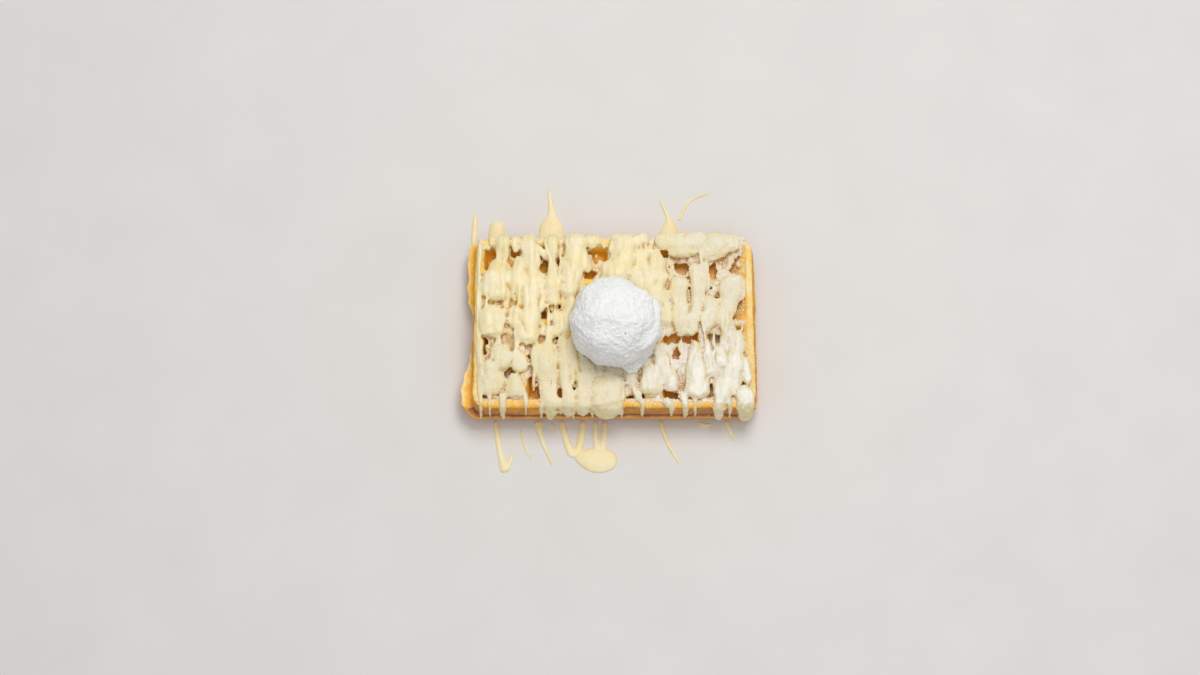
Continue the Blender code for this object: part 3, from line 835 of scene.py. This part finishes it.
def rope_path(back, front, stations, step=2.5):
    """The whole path of a rope over the waffle: x, y, width and height at each station."""
    middle = []
    for x, y, width in smooth_route(stations, step):
        aside = WANDER * width * noise_here(x / 6, y / 6, 11.0)
        wider = 1 + SWELLING * noise_here(x / 8, y / 5, 12.0)
        middle.append((x + aside, y, width * wider, lie(x, y, width)))
    if back:
        middle = hanging_end(stations[0][0], 1, stations[0][2], back)[::-1] + middle
    if front:
        middle = middle + hanging_end(stations[-1][0], -1, stations[-1][2], front)
    return middle


print("stations of the first rope:", len(rope_path(*ROPES[0])))

# %% [markdown]
# A curve with a round bevel would also make a rope, but its ends and its height couldn't follow the
# width so freely. Extruding a disc keeps every ring in hand: each is set square to its heading.

# %% Draw a rope out of a disc
ROPE_SIDES = 14


def draw_out(path, thickness, sides=ROPE_SIDES, blunt=0.45):
    """One rope: a disc, extruded once for each station, whose rings are then set square to the path."""
    bpy.ops.object.select_all(action="DESELECT")
    bpy.ops.mesh.primitive_circle_add(vertices=sides, radius=1, fill_type="NGON", location=(0, 0, 0))
    rope = bpy.context.object
    bpy.ops.object.mode_set(mode="EDIT")
    bpy.ops.mesh.select_all(action="SELECT")
    for _ in path[1:]:
        bpy.ops.mesh.extrude_region_move(TRANSFORM_OT_translate={"value": (0, 0, 1)})
    bpy.ops.object.mode_set(mode="OBJECT")
    points = [Vector((x, y, z)) for x, y, _, z in path]
    turns = []
    for i in range(len(path)):
        heading = (points[min(len(path) - 1, i + 1)] - points[max(0, i - 1)]).normalized()
        flat = Vector((heading.y, -heading.x, 0))
        across = flat.normalized() if flat.length > 0.05 else Vector((1, 0, 0))
        if turns and across.dot(turns[-1][0]) < 0:
            across = -across
        turns.append((across, across.cross(heading)))
    for vertex in rope.data.vertices:
        station = min(len(path) - 1, max(0, round(vertex.co.z)))
        across, up = turns[station]
        width = path[station][2]
        tip = blunt if station in (0, len(path) - 1) else 1.0
        sideways = vertex.co.x * tip * width / 2
        upwards = vertex.co.y * tip * thickness(width) / 2
        vertex.co = points[station] + across * sideways + up * upwards
    return rope


ropes = [draw_out(rope_path(*rope), rope_height) for rope in (*ROPES, *SMALL_ROPES)]
print("longest rope has", max(len(rope.data.vertices) for rope in ropes), "vertices")

# %% [markdown]
# Some pockets are filled nearly to the brim with sauce and sugar. Each filling is a low block with
# eased corners, sunk in its pocket. The scoop also stands on a low pool of sauce.

# %% Fillings and the pool under the scoop
# How far below the top the sauce stands in each pocket, a row for each row of pockets from the
# front; a pocket with 9 or more stays empty
EMPTY_FROM = 9
FILL_DEPTHS = (
    (6, 10, 8, 8, 9, 7),
    (9, 5, 4, 6, 10, 8),
    (4, 10, 4, 4, 5, 9),
    (9, 10, 10, 6, 9, 10),
)
FILL_OVERLAP, FILL_LUMPS = 0.4, 1.1
POOL_RADIUS, POOL_DEPTH, POOL_UP = 20, 4.4, HEIGHT - 0.4


def filling(x, y, depth):
    """A low block of sauce in one pocket, with eased corners."""
    low, high = HEIGHT - POCKET_DEPTH - 0.6, HEIGHT - depth
    bpy.ops.object.select_all(action="DESELECT")
    bpy.ops.mesh.primitive_cube_add(size=1, location=(x, y, (low + high) / 2))
    block = bpy.context.object
    block.scale = (2 * POCKET_HALF_X + FILL_OVERLAP, 2 * POCKET_HALF_Y + FILL_OVERLAP, high - low)
    settle(block)
    bpy.ops.object.mode_set(mode="EDIT")
    bpy.ops.mesh.subdivide(number_cuts=6)
    bpy.ops.object.mode_set(mode="OBJECT")
    for vertex in block.data.vertices:
        if vertex.co.z > high - 0.01:
            vertex.co.z += FILL_LUMPS * noise.noise(vertex.co / 6.0)
    return block


fillings = [filling(x, y, FILL_DEPTHS[row][column]) for x, y, column, row in pocket_middles()
            if FILL_DEPTHS[row][column] < EMPTY_FROM]
pool_middle = (SCOOP_X, SCOOP_Y, POOL_UP)
bpy.ops.object.select_all(action="DESELECT")
bpy.ops.mesh.primitive_cylinder_add(vertices=40, radius=POOL_RADIUS, depth=POOL_DEPTH, location=pool_middle)
pool = bpy.context.object
settle(pool)
print(len(fillings), "filled pockets")

# %% [markdown]
# Between the ropes the sauce spread out into a thin sheet that hangs from ridge to ridge. It covers
# nearly all of the grid, and the crust shows only through gaps in it. It starts as a fine grid that
# is draped over the ridges; the faces over the gaps are deleted, and Solidify gives it its thickness.

# %% Sheet of sauce between the ropes
# The gaps through which the crust shows: x, y, width and length
GAPS = (
    (-69, 36, 8, 15), (-54, 42, 4, 10), (-40, 42, 6, 7), (-38, 32, 5, 8), (-31, 32, 4, 10), (-8, 40, 8, 8),
    (-13, 30, 5, 8), (14, 40, 2, 5), (27, 39, 5, 8), (38, 31, 8, 5), (55, 27, 4, 13), (-37, 3, 5, 9),
    (-27, 1, 2, 6), (55, 1, 3, 5), (-71, -13, 3, 10), (-50, -20, 6, 5), (-29, -9, 2, 3), (-24, -8, 2, 3),
    (25, -11, 3, 3), (22, -18, 3, 4), (34, -9, 4, 3), (41, -9, 3, 3), (35, -19, 3, 11), (48, -9, 5, 4),
    (54, -10, 5, 4), (63, -8, 3, 4), (71, -21, 2, 4), (71, -35, 3, 7), (-61, -28, 3, 3), (-56, -28, 4, 3),
    (-70, -43, 4, 2), (-46, -38, 2, 11), (-41, -40, 6, 7), (-34, -41, 5, 5), (-30, -41, 4, 9),
    (-21, -41, 4, 9), (-13, -42, 2, 3), (-9, -31, 2, 3), (9, -43, 3, 4), (32, -42, 8, 6), (31, -34, 2, 6),
    (54, -38, 3, 7), (53, -24, 2, 7), (71.5, 30, 12, 16), (71.5, 5, 10, 17), (72, -30, 3, 20),
    (30, -10, 3, 3), (45, -8, 2, 4), (58.5, -9, 3, 4), (50, 14, 2, 8), (41.5, 22, 2, 9), (33, 3, 2, 5),
    (57, 10, 2, 7), (-49, 15, 2, 6), (-57, 24, 1.5, 8), (-29, 20, 1.5, 7), (-43, -33, 2, 4), (15, -42, 3, 3),
    (25, -40, 3, 3), (49, -41, 3, 3), (64, -20, 2, 4),
)
SHEET_THICKNESS = 2.4
SHEET_SAG, SHEET_FOLDS = 3.0, 0.8
TORN_ABOVE = 0.5
SHEET_LEFT, SHEET_RIGHT, SHEET_BACK, SHEET_FRONT = -74.0, 72.0, 48.5, -44.0


def in_gap(x, y):
    """True where the sheet is open: inside a ragged oval, or where a small hole tore in it."""
    ragged = 1 + 1.4 * noise_here(x / 1.7, y / 2.0, 3.0)
    for gap_x, gap_y, width, length in GAPS:
        if ((x - gap_x) / (width / 2 + 1)) ** 2 + ((y - gap_y) / (length / 2 + 1)) ** 2 < ragged:
            return True
    edge = 2.4 * noise_here(x / 3.5, y / 3.5, 8.0)
    past_side = x > SHEET_RIGHT + edge or x < SHEET_LEFT + edge
    past_end = y > SHEET_BACK + edge or y < SHEET_FRONT + edge
    return past_side or past_end or noise_here(x / 1.9, y / 3.4, 5.0) > TORN_ABOVE


def sheet_height(x, y):
    """The top of the draped sheet: on the ridges it lies close, between them it sags in folds."""
    folds = noise_here(x / 3.2, y / 10.0, 1.0) + 0.8 * noise_here(x / 7, y / 7, 2.0)
    return HEIGHT + 0.3 - SHEET_SAG * over_pocket(x, y) ** 0.6 + SHEET_FOLDS * folds


bpy.ops.object.select_all(action="DESELECT")
bpy.ops.mesh.primitive_grid_add(x_subdivisions=156, y_subdivisions=100, size=1, location=(0, 0, 0))
sheet = bpy.context.object
sheet.scale = (2 * HALF_X, 2 * HALF_Y + 2, 1)
settle(sheet)
for vertex in sheet.data.vertices:
    vertex.co.z = sheet_height(vertex.co.x, vertex.co.y)
bpy.ops.object.mode_set(mode="EDIT")
pick(sheet, "faces", lambda face: in_gap(*face.calc_center_median().xy))
bpy.ops.mesh.delete(type="FACE")
bpy.ops.object.mode_set(mode="OBJECT")
apply_modifier(sheet, "SOLIDIFY", thickness=SHEET_THICKNESS, offset=-1)
print("sheet of sauce:", len(sheet.data.polygons), "faces,", len(GAPS), "gaps")

# %% [markdown]
# The last of the sauce fell in thin threads, which ripple the ropes lengthwise and bridge the gaps.
# They all run the same way as the ropes, with a little drift, from a seeded draw. Fewer are kept on
# the right, where the sauce lies smoother, and none that ends near the scoop.

# %% Threads
THREADS = 70
THREAD_SEED = 3
THREAD_STEP = 8
THREAD_LIFT = 1.7
thread_draw = random.Random(THREAD_SEED)
threads = []
for _ in range(THREADS):
    x = thread_draw.uniform(-70, 71)
    y = thread_draw.uniform(-28, 46)
    width = thread_draw.uniform(1.3, 2.8)
    drift = thread_draw.uniform(-0.12, 0.12)
    stations = []
    while y > -45 and len(stations) < thread_draw.choice((3, 4, 5, 6)):
        stations.append((x, y, width * thread_draw.uniform(0.75, 1.2)))
        x += THREAD_STEP * drift + thread_draw.uniform(-0.9, 0.9)
        y -= THREAD_STEP
    near_scoop = math.hypot(x - SCOOP_X, y - SCOOP_Y) < SCOOP_RADIUS + 8
    left_out = x > 20 and len(threads) % 3
    if len(stations) < 2 or near_scoop or left_out or sum(in_gap(sx, sy) for sx, sy, _ in stations) > 1:
        continue
    path = rope_path(0, 0, stations)
    lifted = [(px, py, pw, pz + THREAD_LIFT) for px, py, pw, pz in path]
    threads.append(draw_out(lifted, rope_height, sides=8))
print(len(threads), "threads")

# %% [markdown]
# Joined and remeshed at seven tenths of a millimetre, the ropes and fillings become one skin. A
# little smoothing rounds the creases between them, and a low relief gives the surface the slight
# lumps and fold lines of sauce that had begun to set. The mesh is then thinned, so that it stays
# under 200,000 triangles.

# %% Melt the ropes together
SAUCE_VOXEL = 0.7
SAUCE_LUMPS = ((0.55, 6.0, 7), (0.20, 2.4, 8))
RIPPLE_HEIGHT, RIPPLE_STRETCH = 0.6, (1.0, 0.13, 1.0)
FOLD_DEPTH, FOLD_WIDTH, FOLD_STRETCH = 0.45, 0.09, (1.0, 0.30, 1.0)
THINNED_TO = 0.69
sauce = join([*ropes, *threads, *fillings, sheet, pool], "poured_sauce")
even_out(sauce, SAUCE_VOXEL)
places, normals = mesh_arrays(sauce)
ripples = RIPPLE_HEIGHT * noise_at(places * np.array(RIPPLE_STRETCH), 2.3, 14)
fold_lines = hump(noise_at(places * np.array(FOLD_STRETCH), 8.5, 15), 0.0, FOLD_WIDTH)
move_along_normals(sauce, layered_noise(places, SAUCE_LUMPS) + ripples - FOLD_DEPTH * fold_lines)
apply_modifier(sauce, "DECIMATE", ratio=THINNED_TO)
print("poured sauce:", len(sauce.data.polygons), "faces")

# %% [markdown]
# Painted shade: the sauce is coloured yellower in its creases and where it lies sunk in a pocket,
# standing in for the shade there and the warm light that the crust throws back. Crust shows through
# where the sauce is thin, and the sunk parts get the crust's brown as well, as painted shade. Both are
# worked out for each vertex and painted, as the browning was, since both follow from the shape.


# %% Paint the crease shade, the sugar and the crust that shows through
def hollows(piece, rounds):
    """How far each vertex lies below the mean of its neighbours, in millimetres."""
    places, normals = mesh_arrays(piece)
    ends = np.empty(len(piece.data.edges) * 2, dtype=np.int64)
    piece.data.edges.foreach_get("vertices", ends)
    first, second = ends[0::2], ends[1::2]
    count = len(places)
    degree = np.maximum(1, np.bincount(ends, minlength=count))
    spread = places.copy()
    for _ in range(rounds):
        total = np.empty_like(spread)
        for i in range(3):
            total[:, i] = np.bincount(first, spread[second, i], count)
            total[:, i] += np.bincount(second, spread[first, i], count)
        spread = total / degree[:, None]
    return np.einsum("ij,ij->i", spread - places, normals)


DEEP_HOLLOW, SHALLOW_SHARE = 0.34, 0.45
places, normals = mesh_arrays(sauce)
falling = sugar_fall(places[:, 0], places[:, 1])
on_grid = (places[:, 1] > -HALF_Y) * (places[:, 1] < HALF_Y)
low = eased((HEIGHT + 2.0 - places[:, 2]) / 2.4) * on_grid
sunk = eased((HEIGHT - 1.5 - places[:, 2]) / 3.0) * on_grid
# Painted shade: how deep each vertex lies in a crease, plus the sunk parts of the sauce.
paint(sauce, "crease_shade", np.clip(hollows(sauce, 8) / DEEP_HOLLOW - SHALLOW_SHARE + sunk, 0, 1))
paint(sauce, "sugar", falling * np.clip(normals[:, 2], 0, 1) ** 1.5 * (1 - 0.8 * sunk))
# Crust showing through thin sauce, plus painted shade where the sauce lies sunk in a pocket.
paint(sauce, "crust_through_and_shade", np.clip(low * (0.15 + 0.9 * falling) + 0.9 * low * sunk, 0, 1))
print("sugar on the sauce, from", *(round(float(v), 2) for v in (falling.min(), falling.max())))

# %% [markdown]
# White chocolate is a warm cream. It lets a little light in, so it has some subsurface, it has a
# soft sheen, and its creases get a yellower painted shade. Sugar whitens it as it does the crust.

# %% Sauce finish
SAUCE_CREAM = (246, 233, 194)
SAUCE_CLOUDS = ((0.35, (242, 225, 170)), (0.65, SAUCE_CREAM))
# Painted shade for the creases and the sunk sauce
SAUCE_CREASE_SHADE = (202, 152, 66)
# Crust seen through thin sauce, also used as painted shade on sunk sauce
SAUCE_THIN_AND_SHADE = (198, 136, 66)
SPECK_THRESHOLD, SPECK_EDGE = 0.46, 5.0
SUGAR_ON_SAUCE = 0.7


def sauce_material(name, sugared, roughness):
    """The finish of white chocolate sauce, with or without the sugar and the painted shade in its creases."""
    made, tree, shader, place = new_material(name, roughness)
    sauce_colour = colour_ramp(tree, noise_value(tree, place, 0.09), SAUCE_CLOUDS)
    if sugared:
        # Painted shade: the creases and the sunk parts turn yellower.
        sauce_colour = mix_colour(tree, attribute_value(tree, "crease_shade"), sauce_colour, SAUCE_CREASE_SHADE)
        specks = noise_value(tree, place, 1.2, detail=3, roughness=0.7)
        specks = arithmetic(tree, "SUBTRACT", specks, SPECK_THRESHOLD)
        specks = arithmetic(tree, "MULTIPLY", specks, SPECK_EDGE, clamp=True)
        # Crust through thin sauce, and painted shade on the sunk sauce.
        crust_and_shade = arithmetic(tree, "MULTIPLY", attribute_value(tree, "crust_through_and_shade"), specks)
        sauce_colour = mix_colour(tree, crust_and_shade, sauce_colour, SAUCE_THIN_AND_SHADE)
        share = sugar_share(tree, place)
        sauce_colour = mix_colour(tree, arithmetic(tree, "MULTIPLY", share, SUGAR_ON_SAUCE), sauce_colour, SUGAR_WHITE)
        rippled = arithmetic(tree, "MULTIPLY", noise_value(tree, place, 0.8), 1.6)
        add_bump(tree, shader, arithmetic(tree, "ADD", share, rippled), 0.12)
    else:
        add_bump(tree, shader, noise_value(tree, place, 0.5), 0.15)
    tree.links.new(sauce_colour, shader.inputs["Base Color"])
    shader.inputs["Subsurface Weight"].default_value = 0.12
    shader.inputs["Subsurface Radius"].default_value = (1.0, 0.6, 0.25)
    shader.inputs["Subsurface Scale"].default_value = 0.0015
    return made


poured_finish = sauce_material("white chocolate sauce", True, 0.42)
sauce.data.materials.append(poured_finish)
finish_piece(sauce, "poured_sauce", "sauce", "waffle")

# %% [markdown]
# ## Sauce beside the waffle
# Where ropes ran over the edge they left loops, fans and a puddle on the surface. Each is low, with
# a domed top and a sharp tip, and stands for one node of the solid. Strands that meet are melted
# together by the same remesh, at a finer step because they are thin.

# %% Runs on the surface
RUNS = (
    ("sauce_run_back_left", (((-77.8, 51, 3.4), (-77.2, 61, 3.6), (-77, 70, 2.4)),)),
    ("sauce_loop_back", (((-65.5, 49.5, 8), (-65, 58, 9.5), (-64.5, 66, 7.5)),)),
    ("sauce_fan_back", (((-34.5, 49.5, 16), (-34.3, 63, 13), (-34.2, 71, 5), (-36, 85, 1.3)),)),
    ("sauce_fan_back_right", (((31.5, 49.5, 17), (31.5, 60, 11), (31, 68, 3.2), (26, 79, 1.3)),)),
    ("sauce_whisker_back_right", (((36.4, 66.5, 2), (43.5, 78, 1.6), (54.5, 83, 1.2)),)),
    ("sauce_blob_back", (((52, 49.5, 8), (51.5, 57.5, 6.5)),)),
    (
        "sauce_hook_front",
        (((-65, -49.5, 3), (-62.5, -66, 3.6), (-59.5, -79, 5.5)), ((-59, -78.5, 4), (-55, -68, 1.6))),
    ),
    ("sauce_trickle_front", (((-41.5, -49.5, 6), (-39.4, -60, 3), (-33.4, -75, 1.4)),)),
    (
        "sauce_pool_front",
        (
            ((-28.5, -49.5, 3.6), (-26, -60, 4), (-22.5, -68.5, 5), (-18.5, -64, 4.5), (-16.3, -49.5, 3.8)),
            ((-9.6, -49.5, 2.6), (-9.6, -60, 3.4), (-8, -68, 5)),
            ((-4.4, -49.5, 3), (-5, -60, 4), (-7, -69, 5)),
            ((-20.5, -68.4, 5), (-16.5, -70.5, 10), (-10, -72, 15), (-3, -71.7, 13.5), (2, -70, 6.5)),
        ),
    ),
    ("sauce_trickle_front_right", (((26, -49.5, 3), (30, -62, 2.4), (36.5, -74, 1.3)),)),
    ("sauce_trickle_front_corner", (((62.5, -49.5, 3.4), (64.4, -55, 3), (66.5, -61, 1.6)),)),
)
RUN_VOXEL = 0.4
run_finish = sauce_material("run of white chocolate sauce", False, 0.5)


def run_thickness(width):
    """Twice the height of a run, because only its upper half is kept."""
    return 2 * min(1.9, 0.6 + 0.13 * width)


def sauce_run(name, strands, stands_for_node=True):
    """One run: its strands drawn out at the level of the surface, melted together and cut flat below."""
    drawn = []
    for stations in strands:
        path = [(s.x, s.y, s.z, 0.0) for s in smooth_route(stations, 1.5)]
        drawn.append(draw_out(path, run_thickness, sides=12, blunt=0.5))
    run = join(drawn, name) if len(drawn) > 1 else drawn[0]
    even_out(run, RUN_VOXEL)
    bpy.ops.object.mode_set(mode="EDIT")
    bpy.ops.mesh.select_all(action="SELECT")
    bpy.ops.mesh.bisect(plane_co=(0, 0, 0.02), plane_no=(0, 0, 1), use_fill=True, clear_inner=True)
    bpy.ops.object.mode_set(mode="OBJECT")
    run.data.materials.append(run_finish)
    finish_piece(run, name + "_poured", "sauce", *([name] if stands_for_node else []))


for name, strands in RUNS:
    sauce_run(name, strands)

# %% [markdown]
# Three trickles in front of the waffle are too thin for a solid of their own, so they are made here
# in the same way and stand for no node.

# %% Thin trickles
TRICKLES = (
    ("thin_trickle_left", ((-51, -54.6, 1.3), (-48.3, -65.6, 1.2), (-44.7, -71.4, 0.9))),
    ("thin_trickle_middle", ((-34, -50.5, 1.6), (-33.2, -53, 1.4), (-31.5, -56, 1.0))),
    ("thin_trickle_right", ((47, -50.6, 2.4), (51, -52.4, 3.0), (54, -51.4, 2.0))),
)
for name, stations in TRICKLES:
    sauce_run(name, (stations,), stands_for_node=False)

# %% [markdown]
# ## The scoop
# The ice cream is a ball pressed down on the sauce, with a ragged skirt that is widest at the right
# and runs out in a tail at the front. It starts as a sphere, cut flat below; its skirt is drawn out
# and its folds and crumbly crust are moved in code, because they follow the direction from the
# middle of the ball.

# %% Ball with a flat foot
SCOOP_BASE = 27.3
SCOOP_CENTRE_UP = 13.0
SKIRT_UP = 7.0
TAIL_ANGLE = math.radians(293)
bpy.ops.object.select_all(action="DESELECT")
scoop_middle = Vector((SCOOP_X, SCOOP_Y, SCOOP_BASE + SCOOP_CENTRE_UP))
bpy.ops.mesh.primitive_uv_sphere_add(segments=96, ring_count=64, radius=SCOOP_RADIUS, location=scoop_middle)
scoop = bpy.context.object
settle(scoop)
bpy.ops.object.mode_set(mode="EDIT")
bpy.ops.mesh.select_all(action="SELECT")
bpy.ops.mesh.bisect(plane_co=(0, 0, SCOOP_BASE), plane_no=(0, 0, 1), use_fill=True, clear_inner=True)
bpy.ops.object.mode_set(mode="OBJECT")


def skirt_reach(angle):
    """How far the skirt of the scoop stands out in this direction."""
    right = max(0.0, math.cos(angle + 0.1))
    tail = math.exp(-(((angle - TAIL_ANGLE) / 0.2) ** 4))
    return 1.2 + 2.6 * right + 0.6 * math.sin(5 * angle) + 0.5 * math.sin(9 * angle + 1) + 4.4 * tail


for vertex in scoop.data.vertices:
    out = vertex.co - scoop_middle
    height = vertex.co.z - SCOOP_BASE
    angle = math.atan2(out.y, out.x) % (2 * math.pi)
    skirt = max(0.0, 1 - height / SKIRT_UP) * skirt_reach(angle)
    vertex.co.x += skirt * math.cos(angle)
    vertex.co.y += skirt * math.sin(angle)
apply_modifier(scoop, "REMESH", mode="VOXEL", voxel_size=0.5)
print("scoop:", len(scoop.data.polygons), "faces")

# %% [markdown]
# The spoon left curved folds down the right side and a notch behind them. In front the ice cream is
# crumbly, and all of it is a little uneven. Each of these is a sum of waves or noises, kept to its
# own side by a smooth step, which sculpting by hand couldn't repeat.

# %% Folds, crust and grain of the ice cream
FOLD_HEIGHT, FOLD_SPACING = 1.9, 3.6
NOTCH_ANGLE = math.radians(53)
NOTCH_DEPTH, NOTCH_WIDTH = 2.2, 0.11
CRUMB_HEIGHT = 1.3
SCOOP_GRAIN = ((0.5, 1.3, 11), (0.5, 3.0, 12), (1.8, 11.0, 13))
places, normals = mesh_arrays(scoop)
out = places - np.array(scoop_middle)
angle = np.arctan2(out[:, 1], out[:, 0])
height = places[:, 2] - SCOOP_BASE
right_side = eased((np.cos(angle + 0.15) - 0.55) / 0.3) * eased((34 - height) / 14)
wavy = 0.9 * noise_at(places, 9.0, 9)
folds = FOLD_HEIGHT * right_side * np.abs(np.sin(height / FOLD_SPACING + 1.6 * angle + wavy))
notch = -NOTCH_DEPTH * hump(angle, NOTCH_ANGLE, NOTCH_WIDTH) * eased((25 - height) / 10)
front = eased((-np.sin(angle) - 0.55) / 0.3) * eased((17 - height) / 8)
crumbly = CRUMB_HEIGHT * front * noise_at(places, 1.6, 10)
move_along_normals(scoop, folds + notch + crumbly + layered_noise(places, SCOOP_GRAIN))
apply_modifier(scoop, "SMOOTH", factor=0.3, iterations=1)
print("folds up to", round(float(folds.max()), 1), "mm high")

# %% [markdown]
# Sugar covers the ice cream almost entirely, so it is nearly white and quite matt. Its folds get a
# little grey painted shade, and one dark speck of vanilla shows in front.

# %% Ice cream finish
VANILLA_SPECK = (6.5, -17.0)
POWDER_WHITES = ((0.36, (240, 241, 240)), (0.54, (254, 254, 254)))
FOLD_SHADE_GREY, SPECK_BROWN = (220, 219, 215), (70, 62, 54)
places, normals = mesh_arrays(scoop)
# Painted shade in the hollows of the folds.
paint(scoop, "crease_shade", np.clip(hollows(scoop, 4) / 0.3, 0, 1))
from_speck = np.hypot(places[:, 0] - VANILLA_SPECK[0], places[:, 1] - VANILLA_SPECK[1])
paint(scoop, "vanilla", np.clip(1.2 - from_speck / 0.5, 0, 1))
scoop_finish, tree, shader, place = new_material("sugared ice cream", 0.85)
powder = noise_value(tree, place, 1.6, detail=4, roughness=0.7)
white = colour_ramp(tree, powder, POWDER_WHITES)
# The folds are greyed as painted shade.
shaded = arithmetic(tree, "MULTIPLY", attribute_value(tree, "crease_shade"), 0.6)
fold_shaded = mix_colour(tree, shaded, white, FOLD_SHADE_GREY)
speckled = mix_colour(tree, attribute_value(tree, "vanilla"), fold_shaded, SPECK_BROWN)
tree.links.new(speckled, shader.inputs["Base Color"])
add_bump(tree, shader, powder, 0.36)
scoop.data.materials.append(scoop_finish)
finish_piece(scoop, "sugared_scoop", "ice_cream_scoop", "ice_cream_scoop")

# %% [markdown]
# ## Icing sugar
# The sieved sugar lies as a fine bloom, which the finishes paint, and as small clumps, which are real
# grains of mesh. Thousands of them are needed, so one eight-sided grain is made as arrays and
# repeated, each with its own place, size and turn from a seeded draw, where a ray from above meets
# the food. Fewer are kept on rims and on what stands high, which the sugar slid off.

# %% Scatter the clumps
GRAINS = 20000
GRAIN_SEED = 7
SMALLEST_GRAIN, GRAIN_RANGE = 0.14, 0.30
STEEPEST = 0.55
SKIPPED_SHARE = 0.65
OCTAHEDRON = np.array(((1, 0, 0), (-1, 0, 0), (0, 1, 0), (0, -1, 0), (0, 0, 1), (0, 0, -1)), dtype=float)
OCTAHEDRON_FACES = np.array(
    ((0, 2, 4), (2, 1, 4), (1, 3, 4), (3, 0, 4), (2, 0, 5), (1, 2, 5), (3, 1, 5), (0, 3, 5))
)


def top_hit(trees, x, y):
    """The highest point of several pieces under a place, with the normal there."""
    best = None
    for tree in trees:
        spot, normal, _, _ = tree.ray_cast(Vector((x * MM, y * MM, 0.2)), Vector((0, 0, -1)))
        if spot and (best is None or spot.z > best[0].z):
            best = (spot, normal)
    return best


def scatter(name, count, pieces, finish):
    """One piece of many grains, more of them where more sugar fell."""
    draw = random.Random(GRAIN_SEED)
    trees = []
    for piece in pieces:
        mesh = piece.data
        trees.append(BVHTree.FromPolygons([v.co for v in mesh.vertices], [p.vertices for p in mesh.polygons]))
    corners, faces = [], []
    made = 0
    while made < count:
        x, y = draw.uniform(-HALF_X - 4, HALF_X + 4), draw.uniform(-HALF_Y - 2, HALF_Y + 2)
        if draw.random() > float(sugar_fall(x, y)):
            continue
        found = top_hit(trees, x, y)
        if not found or found[1].z < STEEPEST or found[0].z < 5 * MM:
            continue
        on_rim = abs(x) > HALF_X - 3.5 or y < 2.5 - HALF_Y
        if (on_rim or found[0].z > (HEIGHT + 1.5) * MM) and draw.random() < SKIPPED_SHARE:
            continue
        size = MM * (SMALLEST_GRAIN + GRAIN_RANGE * draw.random() ** 3)
        turn = Matrix.Rotation(draw.uniform(0, math.pi), 3, Vector((draw.random(), draw.random(), 1)))
        stretch = np.array((draw.uniform(0.8, 1.3), draw.uniform(0.8, 1.2), draw.uniform(0.6, 0.9)))
        shape = (OCTAHEDRON * stretch) @ np.array(turn).T * size
        corners.append(shape + np.array(found[0] + found[1] * size * 0.4))
        faces.append(OCTAHEDRON_FACES + 6 * made)
        made += 1
    mesh = bpy.data.meshes.new(name)
    mesh.from_pydata(np.concatenate(corners).tolist(), [], np.concatenate(faces).tolist())
    grains = bpy.data.objects.new(name, mesh)
    bpy.context.scene.collection.objects.link(grains)
    mesh.materials.append(finish)
    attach(grains, "root")
    print(f"{name}: {made} grains")


sugar_finish, tree, shader, place = new_material("icing sugar", 0.9)
glint = colour_ramp(tree, noise_value(tree, place, 2.0), ((0.3, (246, 245, 242)), (0.7, (252, 252, 251))))
tree.links.new(glint, shader.inputs["Base Color"])
scatter("icing_sugar_clumps", GRAINS, [crust, sauce], sugar_finish)
